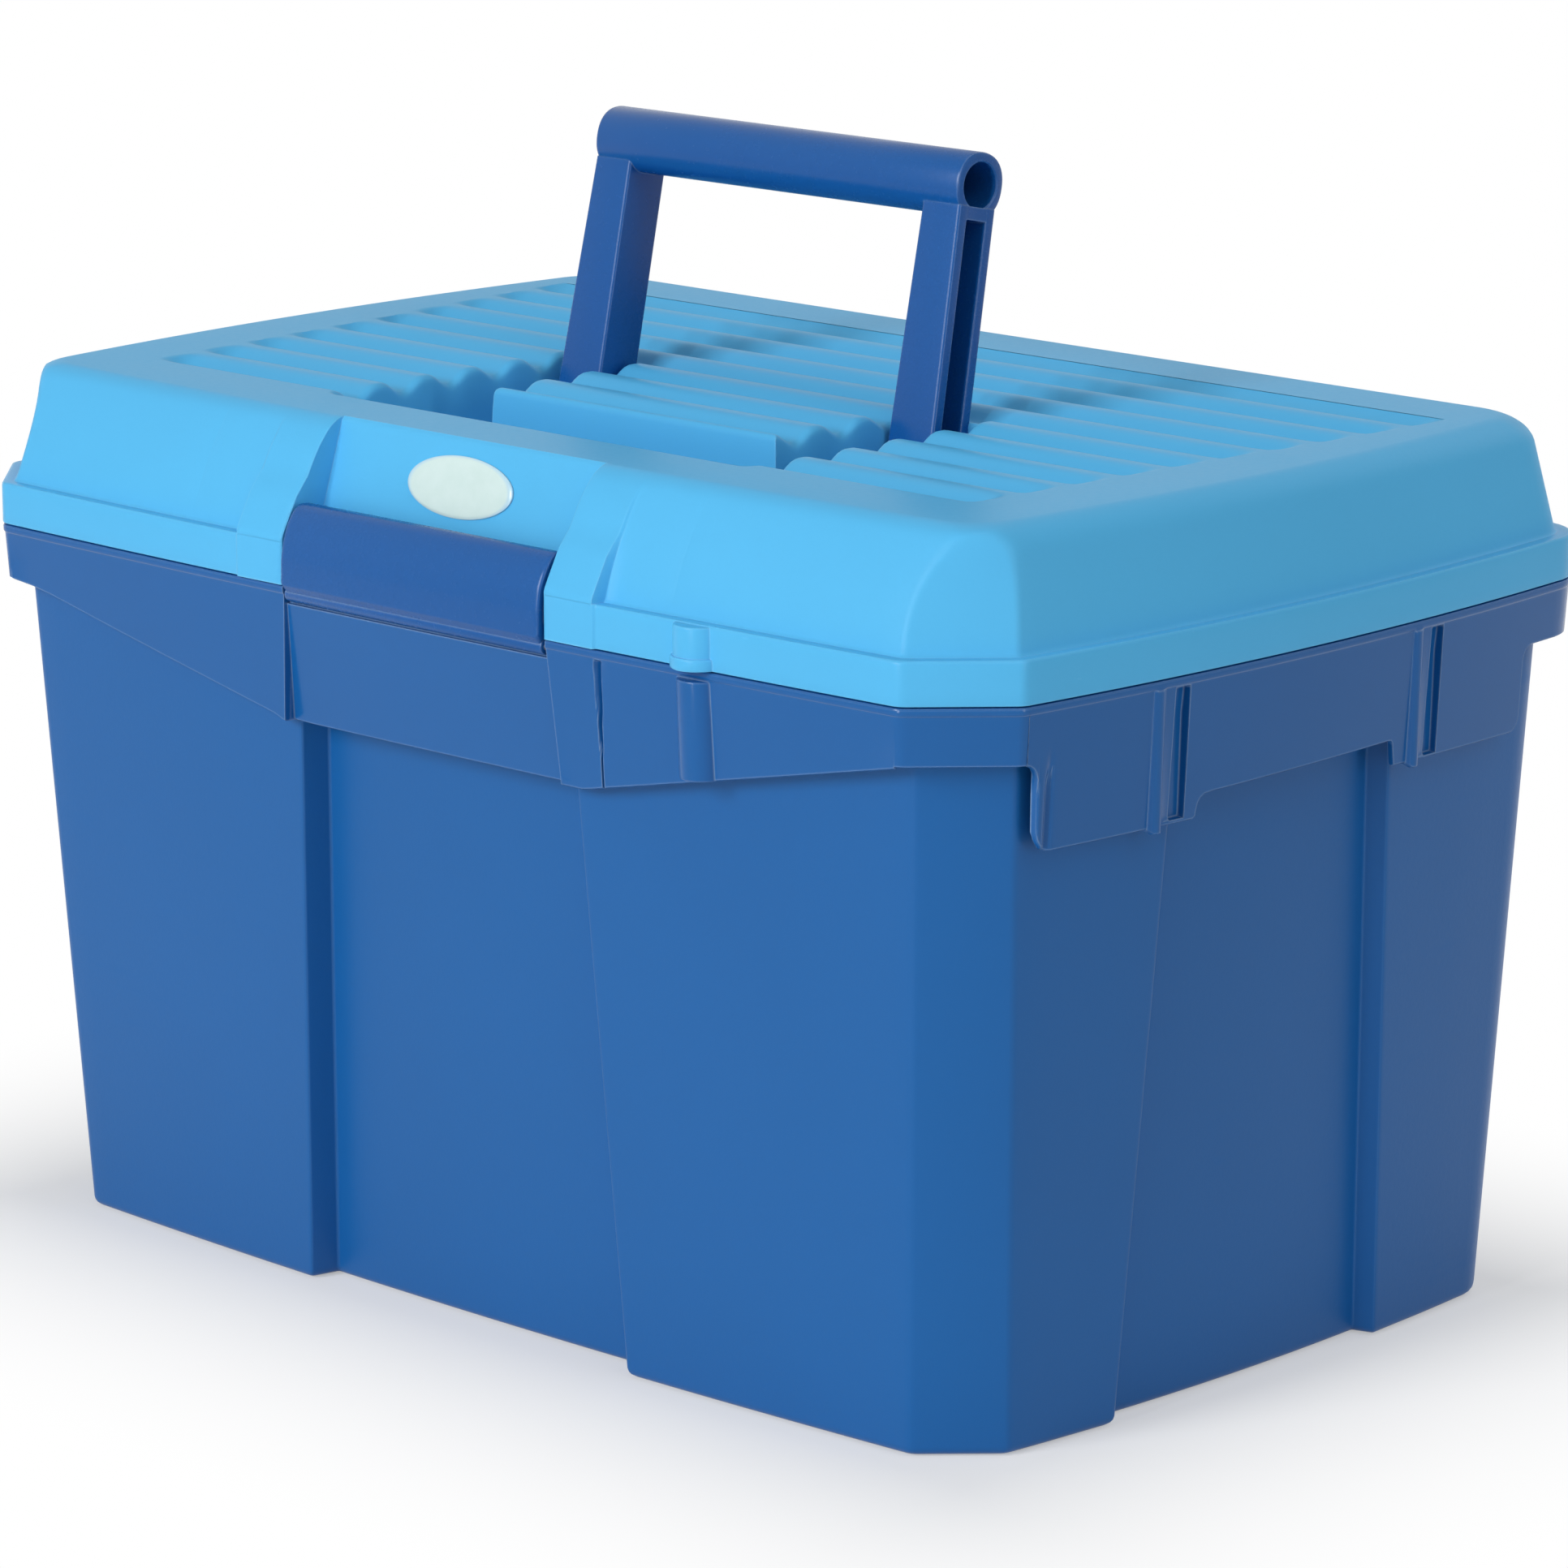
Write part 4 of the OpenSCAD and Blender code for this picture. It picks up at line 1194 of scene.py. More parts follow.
@dataclass
class Tub:
    """The tub: bowed walls with sunken panels, the apron round its rim and the latch plate."""

    rim: Rim
    base_x: float = 178.0
    base_y: float = 108.3
    base_bow: float = 5.1
    base_chamfer: float = 17.8
    base_radius: float = 15.0
    side_in: float = 6.1
    front_in: float = 7.7
    wall: float = 2.2
    floor: float = 2.6
    lip: float = 205.0
    front_depth: float = 8.5
    front_half: float = 60.5
    side_depth: float = 6.0
    side_half: float = 50.6
    side_mid: float = -0.9
    back_depth: float = 5.0
    taper: float = 0.055
    panel_top: float = 178.0
    apron_wall: float = 2.2
    draft: float = 0.06
    low: float = 162.0
    corner_z: float = 185.0
    high_z: float = 169.0
    plate_top: float = 195.0
    plate_sink: float = 2.4
    groove_x: float = 69.0
    ribs: tuple[float, float] = (-56.9, 43.9)
    slots: tuple[float, float] = (-48.5, 52.3)
    gullies: tuple[float, float] = (-52.3, 48.5)
    slot_low: float = 163.0
    end_right: float = -97.0
    end_left: float = -85.5
    post_low: float = 171.4
    knuckle_gap: float = 17.75
    knuckle_half: float = 6.25

    def panel_line(self, half: float) -> Array:
        """Stations across one panel and its stepped edges."""
        step = np.array([3.4, 2.6, 2.1, 1.75, 1.55, 0.1, -0.1, -0.45, -0.95])
        inner = spread(-(half - 2.5), half - 2.5, 9)
        return np.concatenate([-(half + step), inner, (half + step)[::-1]])

    def sunk(self, place: Array, half: float) -> Array:
        """How far the panel is pressed in, 0 to 1."""
        return np.interp(np.abs(place) - half, [-0.95, -0.45, -0.1, 0.1, 1.55, 1.75, 2.1, 2.6],
                         [1, 0.993, 0.965, 0.906, 0.094, 0.035, 0.007, 0])

    def row(self, z: float, off: float, press: float) -> Array:
        """One row of the tub's wall.

        Args:
            z: its height.
            off: how far it lies inside the outer face.
            press: 1 where the panels are pressed in.

        Returns:
            Its points.
        """
        t = z / self.rim.height
        x = self.base_x + (self.rim.half_width - self.side_in - self.base_x) * t
        y = self.base_y + (self.rim.half_depth - self.front_in - self.base_y) * t
        bow = self.base_bow
        plan = Plan(x, y, y, self.base_chamfer, self.base_radius, bow, bow, 1.8).inset(off)
        front, side = (half - self.taper * z + off for half in (self.front_half, self.side_half))
        xs = np.concatenate([[-118, -100, -84], self.panel_line(front), [84, 100, 118]])
        ys = self.side_mid + np.concatenate([[-76], self.panel_line(side), [76]])
        points, walls, places = plan.line(xs, ys, xs[::-1])
        depth = self.front_depth * Wall.FRONT.of(walls) + self.back_depth * Wall.BACK.of(walls)
        depth = depth * self.sunk(places, front)
        depth = depth + self.side_depth * on_sides(walls) * self.sunk(places - self.side_mid, side)
        return raised(push(points, walls, depth * press), z)

    def add_body(self, skin: Skin) -> None:
        """Adds the walls and floor, outside and inside."""
        top, wall, lip = self.panel_top, self.wall, self.lip
        outside = [(0.0, 11.9, 0.0), (0.15, 2.6, 1.0), (0.25, 1.5, 1.0), (0.9, 0.6, 1.0),
                   (1.6, 0.18, 1.0), (2.6, 0.0, 1.0)]
        outside += [(z, 0.0, 1.0) for z in (30, 60, 90, 120, 145, 165, top)]
        outside += [(top + 1.6, 0.0, 0.0), (lip - 0.6, 0.0, 0.0), (lip, 0.6, 0.0)]
        inside = [(lip, 0.6, 0.0), (lip, 1.7, 0.0), (lip - 0.5, wall, 0.0), (top + 2.8, wall, 0.0),
                  (top + 2.2, wall, 1.0), (90, wall, 1.0), (7, wall, 1.0), (4, wall + 0.8, 1.0),
                  (self.floor + 0.2, wall + 3.2, 1.0), (self.floor, wall + 9.5, 0.0)]
        outer, inner = (np.array([self.row(*level) for level in levels]) for levels in (outside, inside))
        skin.grid(outer, away, closed=True)
        skin.cap(outer[0], downward)
        skin.grid(inner, inward, closed=True)
        skin.cap(inner[-1], upward)

    @property
    def apron_xs(self) -> Array:
        """Stations across the front apron: the latch bay on both sides and a groove on the right.

        Returns:
            The stations, from left to right.
        """
        bay = self.rim.bay_half
        left = [-118, -104, -90, -78, -66, -58, -bay - 0.8, -bay - 0.25, -bay, -bay + 0.3, -46]
        right = [46, bay - 0.3, bay, bay + 0.25, bay + 0.8, 54, 58, 61, 64, 66.5, 67.6]
        groove = list(self.groove_x + np.array([-1, -0.6, -0.3, 0, 0.3, 0.6, 1]) * 1.3)
        return np.array(left + [-30, -15, 0, 15, 30] + right + groove + [71, 73, 78, 86, 96, 106, 118])

    @property
    def apron_ys(self) -> Array:
        """Stations along the side aprons: their ends, ribs, slots and the higher stretch.

        Returns:
            The stations, from front to back.
        """
        end = np.array([-4.2, -2.8, -1.6, -0.7, -0.15, 0, 0.2, 0.5, 0.8, 1.4, 2.1, 2.8, 3.2, 3.6, 4.0,
                        4.5, 5.1, 5.7])
        rib = np.array([-3.2, -2.6, -2.1, -1.6, -1.1, -0.6, 0, 0.6, 1.1, 1.6, 2.1, 2.6, 3.2])
        slot = np.array([-2.6, -2.3, -2.1, -1, 0, 1, 2.1, 2.3, 2.6])
        middle = [-42.5, -41.7, -41.4, -40.9, -40.1, -38.7, -35.5, -27, -17, -7, 3, 13, 22.5, 30.5, 33.5,
                  34.9, 35.6, 36.1, 36.7, 37.9]
        rear = [57.5, 64.5, 72.5, 80.5, 86.5, 88.9, 90.1, 91.1, 92, 92.8, 93.3, 93.6, 94, 94.8, 95.9,
                97.5]
        return np.concatenate([
            self.end_right + end, [-90.2], self.end_left + end, [-79.5, -77, -72.5, -67.5],
            self.ribs[0] + rib, self.slots[0] + slot, middle, self.ribs[1] + rib, self.slots[1] + slot,
            rear])

    def edge_z(self, walls: Array, places: Array) -> Array:
        """Height of the apron's lower edge.

        Args:
            walls: wall of each station.
            places: place along its wall.

        Returns:
            One height for each.
        """
        low, corner, high = self.low, self.corner_z, self.high_z
        front = np.interp(places, [-172, -158, -49, 61.5, 172], [corner, 183.8, low, low, corner])
        drop = [(-4.2, corner), (-2.8, 184.6), (-1.6, 183.8), (-0.7, 182.5), (-0.15, 180.8), (0, 177),
                (0.2, 167), (0.8, 164.9), (1.8, 163.3), (3.1, 162.4), (4.5, low)]
        rest = [(-41.8, low), (-41.4, 164.5), (-40.8, 166.4), (-39.5, 167.8), (-37.5, 168.2),
                (34, high + 0.6), (35.5, 169.4), (36.1, 166), (36.7, 162.6), (90.5, low), (91.7, 162.6),
                (92.7, 163.8), (93.4, 166), (93.6, 181), (94.1, 183), (95.1, 184.2), (96.5, corner)]

        def side(end: float) -> Array:
            """Edge of a side apron that starts at end."""
            ys, zs = zip(*[(end + y, z) for y, z in drop], *rest)
            return np.interp(places, ys, zs)

        sides = np.where(Wall.LEFT.of(walls), side(self.end_left), side(self.end_right))
        sides = sides - 1.3 * ease((2.6 - distance_to(places, self.ribs)) / 1.6)
        return np.where(Wall.FRONT.of(walls), front, np.where(on_sides(walls), sides, corner))

    def relief(self, walls: Array, places: Array, z: Array) -> Array:
        """How far ribs, slots, the latch bay and the groove move the apron's face inwards.

        Args:
            walls: wall of each station.
            places: place along its wall.
            z: height of each station.

        Returns:
            One depth for each, negative for what stands proud.
        """
        down = np.clip((198 - z) / 36, 0, 1)
        rib = distance_to(places, self.ribs) / (1.8 + 0.3 * down)
        proud = (0.9 + 1.1 * down) * np.sqrt(np.clip(1 - rib ** 2, 0, 1)) * ease((198.2 - z) / 0.8)
        over = z - self.slot_low
        slot = ease((2.55 - distance_to(places, self.slots)) / 0.5)
        hole = 5.0 * slot * ease((197.2 - z) / 0.5) * ease(over / 0.5)
        gully = ease((1.9 - distance_to(places, self.gullies)) / 1.4)
        hole = np.maximum(hole, 1.3 * down * gully * ease(over / 0.6))
        along = places - np.where(Wall.LEFT.of(walls), self.end_left, self.end_right)
        roll = 1.4 * np.exp(-((along - 3.6) / 0.85) ** 2) * ease((186 - z) / 8)
        roll += 0.6 * np.clip((0.8 - along) / 0.8, 0, 1) ** 2 * ease((181 - z) / 3)
        depth = np.where(on_sides(walls), hole + roll - proud, 0.0)
        front = Wall.FRONT.of(walls)
        share = np.clip((self.plate_top - z) / (self.plate_top - self.low), 0, 1)
        bay = np.where(z > self.plate_top + 0.05, 4.4, 1.0 + self.plate_sink * share)
        depth = np.where(front & (np.abs(places) <= self.rim.bay_half + 0.01), bay, depth)
        width = 1.5 * np.clip((z - self.low - 2) / 34, 0, 1) + 0.02
        cut = np.clip(1 - np.abs(places - self.groove_x) / width, 0, 1) * ease((197.4 - z) / 0.3)
        return np.where(front & (places > 60), 2.2 * cut, depth)

    def add_apron(self, skin: Skin) -> None:
        """Adds the apron that hangs from the rim."""
        face, top, under = 0.35, self.rim.height, 197.6
        bead = [(top, 1.6), (top, 0.8), (199.85, 0.25), (199.5, 0.02), (198.3, 0.0), (198.0, 0.08),
                (197.8, 0.3), (197.5, face)]
        levels = [197.0, 196.7, 196.4, self.plate_top + 0.1, self.plate_top, 192, 188, 184, 180, 176,
                  173, 171, 169.5, 168.4, 167, 165.8, 164.8, 164.4, 164.1, 163.4, 162.8, self.low,
                  161.4, 160.8]
        rows = [self.apron_row(level, off, 0.0) for level, off in bead + [(z, face) for z in levels]]
        for off, lift in ((face + 0.12, 0.0), (0.8, -0.3), (1.6, -0.35), (self.apron_wall, 0.0)):
            rows.append(self.apron_row(0.0, off, lift))
        for level, extra in ((190.0, 0.6), (under, 0.2)):
            rows.append(self.apron_row(level, self.apron_wall + extra, 0.0, inner=True))
        skin.grid(np.array(rows), away, closed=True)
        ring, _, _ = self.rim.plan(9.5).line(self.apron_xs, self.apron_ys)
        skin.grid(np.array([rows[0], raised(ring, top)]), upward, closed=True)
        skin.grid(np.array([rows[-1], raised(ring, under)]), downward, closed=True)

    def apron_row(self, level: float, off: float, lift: float, inner: bool = False) -> Array:
        """One row of the apron.

        Args:
            level: its height, unless the lower edge lies higher.
            off: how far it lies behind the apron's face.
            lift: how far it lies above the lower edge.
            inner: for the hidden side, without relief.

        Returns:
            Its points.
        """
        points, walls, places = self.rim.plan(off).line(self.apron_xs, self.apron_ys)
        edge = self.edge_z(walls, places) + lift
        z = np.full(len(points), level) if inner else np.maximum(level, edge)
        lean = self.draft * (self.rim.height - z)
        size = np.linalg.norm(points, axis=1)[:, None]
        corner = points - points / size * lean[:, None] * 1.2
        moved = np.where(Wall.CORNER.of(walls)[:, None], corner, push(points, walls, lean))
        if not inner:
            moved = push(moved, walls, self.relief(walls, places, z))
        flare = np.clip((197.6 - z) / 36, 0, 1) * 3.0
        near = np.abs(np.abs(places) - self.rim.bay_half) < 0.9
        moved[:, 0] += np.where(Wall.FRONT.of(walls) & near, np.sign(places) * flare, 0.0)
        return raised(moved, z)

    def add_fittings(self, skin: Skin) -> None:
        """Adds the post beside the latch and the hinge knuckles."""
        lid = Lid(self.rim)
        skin.column(lid.post_arc(lid.post_r - 0.8), self.post_low, 197.4, 0.5, lean=1.0)
        wall, top = self.rim.half_depth - 1.5, self.rim.height
        middles = [side * lid.hinge.x + end * self.knuckle_gap for side in (-1, 1) for end in (-1, 1)]
        lid.hinge.add(skin, (-78, 150), [[wall, top - 2], [wall, top - 14]], middles, self.knuckle_half)

    def build(self) -> tuple[bpy.types.Object, bpy.types.Object]:
        """Makes the grained shell and the smooth apron that is moulded to it.

        Returns:
            Both objects.
        """
        shell, apron = Skin(), Skin()
        self.add_body(shell)
        self.add_apron(apron)
        self.add_fittings(apron)
        return shell.build("tub_shell", angle=38), apron.build("tub_apron", angle=38)


@dataclass
class LatchFlap:
    """The flap over the lid's catch, with its barrel."""

    rim: Rim
    half: float = 49.5
    proud: float = 1.3
    rise: float = 22.0
    wall: float = 2.2
    lip: float = 4.0
    barrel_y: float = -127.1
    barrel_z: float = 197.9
    barrel_r: float = 2.1

    def build(self) -> bpy.types.Object:
        """Makes the flap.

        Returns:
            It.
        """
        face = -(self.rim.face + self.proud)
        z, top, wall = self.rim.height, self.rim.height + self.rise, self.wall
        tip, pin_z = face + 5.4 + self.lip, self.barrel_z + 0.8
        corners = [(face, z + 0.7), (face, z + 8), (face + 0.9, z + 13), (face + 2.8, z + 17.6),
                   (face + 5.4, top - 1), (face + 7.2, top), (tip, top), (tip, top - wall),
                   (face + 7, top - wall), (face + 2.8 + wall, z + 16.4), (face + 0.8 + wall, z + 12),
                   (face + wall, z + 8), (face + wall, z + 4), (self.barrel_y + 1.9, pin_z),
                   (self.barrel_y - 1.9, pin_z)]
        radii = [0.35, 1.5, 1.8, 1.8, 1.1, 0.6, 0.5, 0.4, 0.8, 1, 1, 1, 1, 0, 0]
        profile = rounded(corners, radii, 5)
        middle = np.array([face + 4.5, z + 12])
        pull = middle - profile
        size = np.linalg.norm(pull, axis=1)[:, None]
        pull = pull / np.maximum(size, 1) * np.minimum(1, size / 4)
        ends = [(0.0, 0.9), (0.12, 0.55), (0.4, 0.25), (0.9, 0.07), (1.6, 0.0)]
        places = [(d - self.half, s) for d, s in ends] + [(self.half - d, s) for d, s in reversed(ends)]
        rings = [np.column_stack([np.full(len(pull), x), profile + pull * s]) for x, s in places]
        skin = Skin()
        skin.loft(np.array(rings), np.array([[x, *middle] for x, _ in places]))
        barrel = arc_points((self.barrel_y, self.barrel_z), self.barrel_r, 0, 360, 33)[:-1]
        skin.bar(barrel, -self.half, self.half, 0.3)
        return skin.build("latch_flap_cover", angle=40)


@dataclass
class Handle:
    """The folding handle: a hollow grip and two channelled arms, leaning back on its stop."""

    pivot_y: float = 0.8
    pivot_z: float = 233.0
    lean: float = 12.2
    reach: float = 72.6
    grip_r: float = 9.0
    grip_half: float = 69.0
    bore_r: float = 6.3
    arm_in: float = 55.5
    arm_out: float = 71.8
    depth: float = 7.2
    web: float = 3.0
    channel: float = 3.8
    stub_r: float = 3.0

    def placed(self, points: Array) -> Array:
        """Leans points that were made upright on the pivot.

        Args:
            points: x, y, z of each, with the pivot at 0.

        Returns:
            Their places on the box.
        """
        a = math.radians(self.lean)
        x, y, z = (points[..., i] for i in range(3))
        return np.stack([x, self.pivot_y + y * math.cos(a) + z * math.sin(a),
                         self.pivot_z - y * math.sin(a) + z * math.cos(a)], axis=-1)

    def section(self, out: float, half: float, deep: float) -> Array:
        """Section of the right arm.

        Args:
            out: its outer face.
            half: half its depth, front to back.
            deep: how deep its channel is.

        Returns:
            x, y points.
        """
        gap, floor = self.channel * min(1.0, half / self.depth), out - max(deep, 0.02)
        corners = [(self.arm_in, -half), (out, -half), (out, -gap), (floor, -gap), (floor, gap),
                   (out, gap), (out, half), (self.arm_in, half)]
        soft, dent = min(1.0, half * 0.3), 0.4 if deep > 1 else 0.005
        return rounded(corners, [soft, soft, dent, dent, dent, dent, soft, soft], 4)

    def add_arm(self, skin: Skin, side: int) -> None:
        """Adds one arm with its pivot stub.

        Args:
            skin: the handle.
            side: 1 for the right arm, -1 for the left one.
        """
        rings, core = [], []
        taper = self.arm_out - self.grip_half
        start, stop, ramp = 3.0, self.reach - self.grip_r - 0.7, 0.3
        levels = [(self.depth * math.sin(math.radians(a)), 0.0)
                  for a in (-89, -75, -60, -45, -30, -15, 0)]
        levels += [(start - ramp, 0.0), (start, 0.3), (start + ramp, 1.0), (20, 1.0), (40, 1.0),
                   (stop - ramp, 1.0), (stop, 0.3), (stop + ramp, 0.0), (self.reach - 5.8, 0.0)]
        for z, share in levels:
            half = self.depth if z >= 0 else math.sqrt(max(0.02, self.depth ** 2 - z * z))
            out = self.arm_out - taper * max(0.0, z) / self.reach
            ring = self.section(out, half, (out - self.arm_in - self.web) * share)
            ring = np.column_stack([ring[:, 0] * side, ring[:, 1], np.full(len(ring), z)])
            rings.append(self.placed(ring))
            core.append(self.placed(np.array([(self.arm_in + 1) * side, 0.0, z])))
        skin.loft(np.array(rings), np.array(core))
        stub = arc_points((0, 0), self.stub_r, 0, 360, 29)[:-1]
        stub = self.placed(np.column_stack([np.zeros(len(stub)), stub]))
        ends = sorted((side * (self.arm_in + 1.0), side * (self.arm_in - 4.3)))
        skin.bar(stub[:, 1:], *ends, 0.4)

    def add_grip(self, skin: Skin) -> None:
        """Adds the hollow grip, closed at its left end."""
        half, r, bore = self.grip_half, self.grip_r, self.bore_r
        outside = [(-half, 0.02), (-half, r - 1.3), (-half + 0.15, r - 0.7), (-half + 0.6, r - 0.18),
                   (-half + 1.3, r), (-half / 2, r), (0, r), (half / 2, r), (half - 0.9, r),
                   (half - 0.3, r - 0.2), (half, r - 0.7)]
        mouth = (half, bore + 0.4)
        inside = [(half - 0.3, bore + 0.05), (half - 0.8, bore), (-half + 4, bore),
                  (-half + 3, bore - 1), (-half + 3, 0.02)]
        turn = np.radians(spread(0, 360, 65)[:-1])
        c, s = np.cos(turn), np.sin(turn)
        square = (np.abs(c) ** 2.25 + np.abs(s) ** 2.25) ** (-1 / 2.25)

        def ring(x: float, radius: float) -> Array:
            """One ring, squarer outside and cut flat underneath."""
            shape = square if radius > bore + 0.5 else 1.0
            y, z = radius * shape * c, self.reach + radius * shape * s
            z = np.maximum(z, self.reach - r * 0.97)
            return self.placed(np.column_stack([np.full(len(turn), x), y, z]))

        axis = self.placed(np.array([0.0, 0.0, self.reach]))
        outer = np.array([ring(*place) for place in [*outside, mouth]])
        hidden = np.array([ring(*place) for place in [mouth, *inside]])
        skin.grid(outer, lambda p: (p - axis) * [0.2, 1, 1], closed=True)
        skin.grid(hidden, lambda p: (axis - p) * [0.0, 1, 1], closed=True)

    def build(self) -> bpy.types.Object:
        """Makes the handle."""
        skin = Skin()
        for side in (-1, 1):
            self.add_arm(skin, side)
        self.add_grip(skin)
        return skin.build("handle_bow", angle=38)


@dataclass
class Label:
    """The blank oval label above the latch."""

    rim: Rim
    lid: Lid
    width: float = 40.0
    height: float = 16.6

    @property
    def centre(self) -> tuple[float, float, float]:
        """Its middle, on the floor of the latch bay."""
        z = (self.lid.catch_top + self.lid.top) / 2 + 0.6
        return 0.0, self.lid.bay_y(z), z

    def build(self) -> bpy.types.Object:
        """Makes the label.

        Returns:
            It.
        """
        x0, y0, z0 = self.centre
        lean = math.atan(self.lid.floor_lean)
        turn = np.radians(spread(0, 360, 97)[:-1])
        rows = []
        for shrink, lift in ((1.0, 0.1), (1.0, 0.5), (0.985, 0.72), (0.95, 0.84), (0.8, 0.9), (0.5, 0.95),
                             (0.2, 0.97), (0.01, 0.97)):
            x = self.width / 2 * shrink * np.cos(turn)
            squeeze = self.width / self.height if shrink > 0.9 else 1
            v = self.height / 2 * np.sin(turn) * (1 - (1 - shrink) * squeeze)
            y = y0 + v * math.sin(lean) - lift * math.cos(lean)
            z = z0 + v * math.cos(lean) + lift * math.sin(lean)
            rows.append(np.column_stack([x0 + x, y, z]))
        skin = Skin()
        skin.grid(np.array(rows), lambda c: (c - [x0, y0 + 6, z0]), closed=True)
        skin.cap(rows[0], lambda c: np.tile([0, 1.0, -0.3], (len(c), 1)))
        skin.cap(rows[-1], lambda c: np.tile([0, -1.0, 0.3], (len(c), 1)))
        return skin.build("label_oval", angle=50)


@dataclass(frozen=True)
class Lamp:
    """One soft lamp: place and size in metres, power in watts, and the height that it faces."""

    name: str
    spot: tuple[float, float, float]
    size: tuple[float, float]
    power: float
    aim_z: float = 0.14

    def place(self) -> None:
        """Adds the lamp."""
        data = bpy.data.lights.new(self.name, "AREA")
        data.energy, data.shape = self.power, "RECTANGLE"
        data.size, data.size_y = self.size
        lamp = bpy.data.objects.new(self.name, data)
        facing = (Vector((0, 0, self.aim_z)) - Vector(self.spot)).to_track_quat("-Z", "Y")
        lamp.matrix_world = Matrix.Translation(Vector(self.spot)) @ facing.to_matrix().to_4x4()
        bpy.context.scene.collection.objects.link(lamp)


@dataclass
class Studio:
    """Pale floor, plain lamps and the camera."""

    distance: float = 1904.85
    azimuth: float = 45.13
    elevation: float = 13.37
    roll: float = -0.36
    target: tuple[float, float, float] = (-16.8, -13.83, 127.7)
    lens: float = 157.32
    shift_x: float = 0.0679
    shift_y: float = 0.0083
    shadow: tuple[float, float] = (0.185, 0.115)
    shadow_fade: float = 0.14
    lamps: tuple[Lamp, ...] = (
        Lamp("key", (-0.35, -2.4, 1.3), (0.75, 0.9), 33), Lamp("fill", (1.9, -0.3, 1.9), (1.4, 1.4), 8),
        Lamp("back", (0.3, 2.3, 1.35), (1.6, 1.2), 6),
        Lamp("overhead", (0.2, 0.4, 2.3), (1.6, 1.6), 6, 0.1),
        Lamp("front_strip", (0.35, -2.5, 0.6), (0.16, 1.3), 16),
        Lamp("side_strip", (2.6, -0.1, 0.6), (0.25, 1.3), 9))

    def place_camera(self) -> None:
        """Puts the camera where the photograph was taken from."""
        a, e, r = (math.radians(v) for v in (self.azimuth, self.elevation, self.roll))
        back = Vector((math.sin(a) * math.cos(e), -math.cos(a) * math.cos(e), math.sin(e)))
        right = (-back).cross(Vector((0, 0, 1))).normalized()
        up = right.cross(-back)
        turned = math.cos(r) * right + math.sin(r) * up
        risen = -math.sin(r) * right + math.cos(r) * up
        spot = (Vector(self.target) + back * self.distance) * MM
        data = bpy.data.cameras.new("camera")
        data.lens, data.sensor_width = self.lens, 36.0
        data.shift_x, data.shift_y = self.shift_x, self.shift_y
        data.clip_start, data.clip_end = 0.05, 60.0
        camera = bpy.data.objects.new("camera", data)
        camera.matrix_world = Matrix((
            (turned.x, risen.x, back.x, spot.x), (turned.y, risen.y, back.y, spot.y),
            (turned.z, risen.z, back.z, spot.z), (0, 0, 0, 1)))
        bpy.context.scene.collection.objects.link(camera)
        bpy.context.scene.camera = camera

    def lay_floor(self) -> None:
        """Adds the floor, which keeps the shadow and is white where it is lit."""
        skin = Skin()
        xs = spread(-4000, 4000, 9)
        x, y = np.meshgrid(xs, xs)
        skin.grid(np.dstack([x, y, np.full_like(x, -0.2)]), upward)
        floor = skin.build("floor")
        material, graph = new_material("floor_white")
        x, y, _ = graph.axes(graph.node("ShaderNodeNewGeometry", output="Position"))
        aside, ahead = ((abs(v) - half).most(0.0) for v, half in zip((x, y), self.shadow))
        far = ((aside * aside + ahead * ahead).root() / self.shadow_fade).unit()
        clean = self.seen(graph) * (0.4 + 0.6 * far * (2.0 - far))
        shade = graph.node("ShaderNodeBsdfDiffuse", None, {"Color": (0.86, 0.87, 0.88, 1.0)})
        glow = graph.node("ShaderNodeEmission", None, {"Color": (1, 1, 1, 1), "Strength": 1.0})
        graph.surface(graph.node("ShaderNodeMixShader", None, {0: clean, 1: shade, 2: glow}))
        floor.data.materials.append(material)

    @staticmethod
    def seen(graph: Graph) -> Term:
        """1 for rays from the camera, in reflections or through clear film, 0 for others.

        Args:
            graph: the tree that needs it.

        Returns:
            The factor.
        """
        rays = graph.node("ShaderNodeLightPath").socket.node
        made = Term(graph, rays.outputs["Is Camera Ray"])
        for name in ("Is Glossy Ray", "Is Transmission Ray"):
            made = made.most(Term(graph, rays.outputs[name]))
        return made

    def light_world(self) -> None:
        """Pale world that is white to the camera and in reflections."""
        world = bpy.data.worlds.new("studio")
        bpy.context.scene.world = world
        world.use_nodes = True
        graph = Graph(world.node_tree)
        dim, clear = (graph.node("ShaderNodeBackground", None, {"Color": (1, 1, 1, 1), "Strength": s})
                      for s in (0.2, 1.0))
        sky = graph.node("ShaderNodeMixShader", None, {0: self.seen(graph), 1: dim, 2: clear})
        graph.node("ShaderNodeOutputWorld", None, {"Surface": sky})

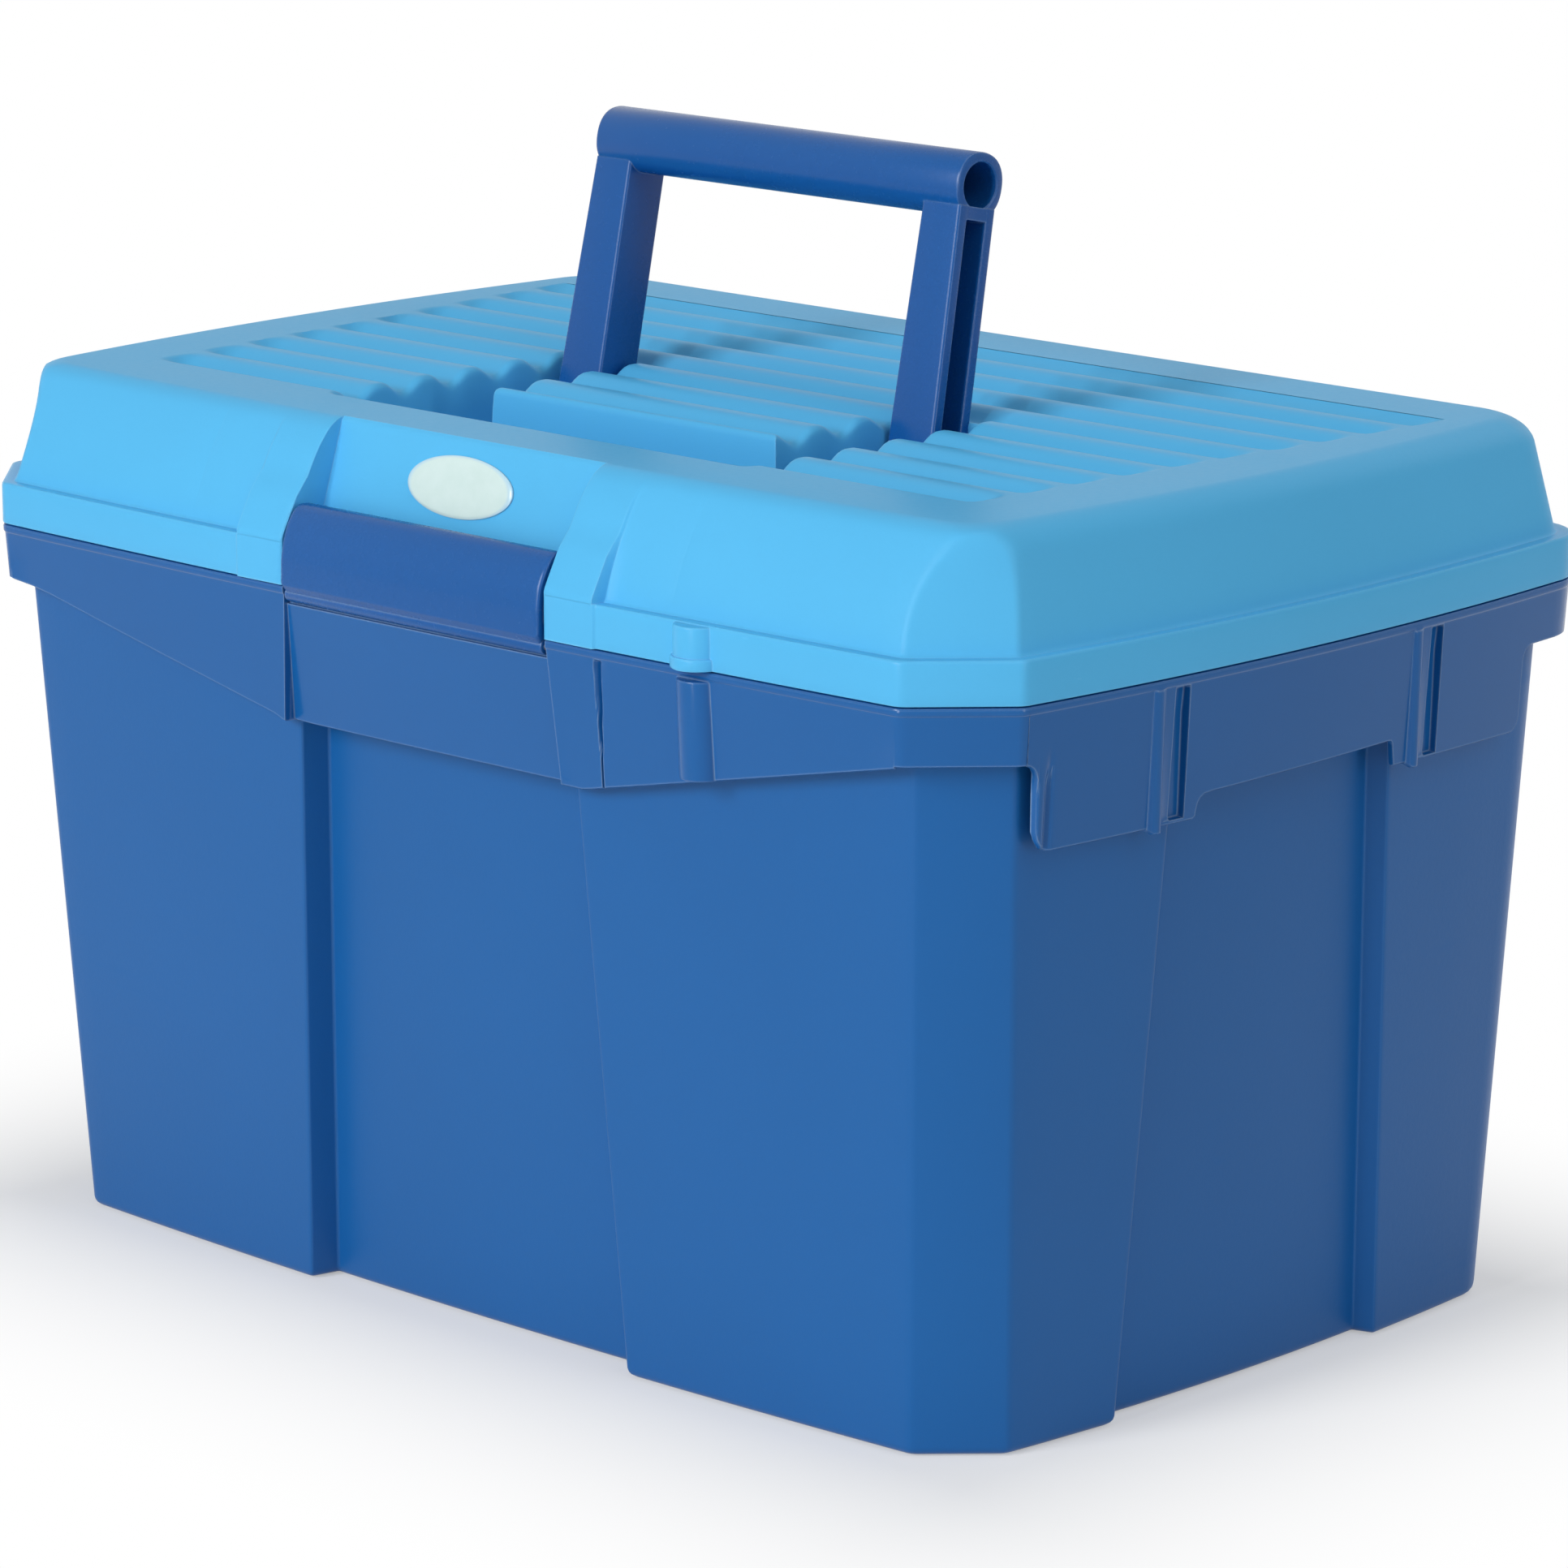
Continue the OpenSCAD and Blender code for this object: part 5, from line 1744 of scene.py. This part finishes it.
    def build(self) -> None:
        """Sets up everything that isn't part of the box."""
        self.place_camera()
        self.lay_floor()
        self.light_world()
        for lamp in self.lamps:
            lamp.place()
        bpy.context.scene.view_settings.view_transform = "Standard"


class Finishes:
    """The materials of this box."""

    def __init__(self, label: Label) -> None:
        """Builds each one once."""
        self.lid = Plastic("lid_plastic", linear(86, 181, 231), 0.42, Grain.FINE, 0.035,
                           specular=0.12, polish_below=212.2).build()
        self.tub = Plastic("tub_plastic", linear(20, 93, 159), 0.38, Grain.FINE, 0.04).build()
        # the apron and the handle get a stronger painted highlight on their edges
        self.apron = Plastic("apron_plastic", linear(20, 91, 157), 0.2, Grain.SMOOTH, 0.04,
                             edge_highlight_strength=2.0).build()
        self.dark = Plastic("handle_plastic", linear(17, 84, 152), 0.26, Grain.SMOOTH, 0.04,
                            edge_highlight_strength=1.5).build()
        self.tray = Plastic("tray_plastic", linear(34, 93, 160), 0.44, Grain.FINE, 0.04).build()
        self.label = Film("label_film", label.centre, label.width, label.height).build()
        self.steel = Steel("pin_steel").build()


def recolour(nodes: dict[str, bpy.types.Object], names: Sequence[str],
             material: bpy.types.Material) -> None:
    """Gives CAD nodes that stay in view their finish.

    Args:
        nodes: the frame's nodes.
        names: those that stay.
        material: their look.
    """
    for name in names:
        slots = nodes[name].data.materials
        slots.clear()
        slots.append(material)
        LOG.info("%s keeps its CAD shape", name)


def main() -> None:
    """Builds the box around its frame, piece by piece."""
    logging.basicConfig(level=logging.INFO, format="%(name)s: %(message)s")
    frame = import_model()
    rim = Rim()
    lid = Lid(rim)
    label = Label(rim, lid)
    finishes = Finishes(label)
    shell, apron = Tub(rim).build()
    dress(shell, finishes.tub, "tub", ["tub"])
    dress(apron, finishes.apron, "tub")
    dress(lid.build(finishes.lid), finishes.lid, "lid", ["lid"])
    dress(label.build(), finishes.label, "lid", ["label_plate"])
    dress(LatchFlap(rim).build(), finishes.dark, "latch", ["latch_flap"])
    dress(Handle().build(), finishes.dark, "handle", ["carry_handle"])
    recolour(frame["nodes"], ["insert_tray"], finishes.tray)
    recolour(frame["nodes"], ["hinge_pin_left", "hinge_pin_right", "latch_pin"], finishes.steel)
    Studio().build()


if __name__ == "__main__":
    main()
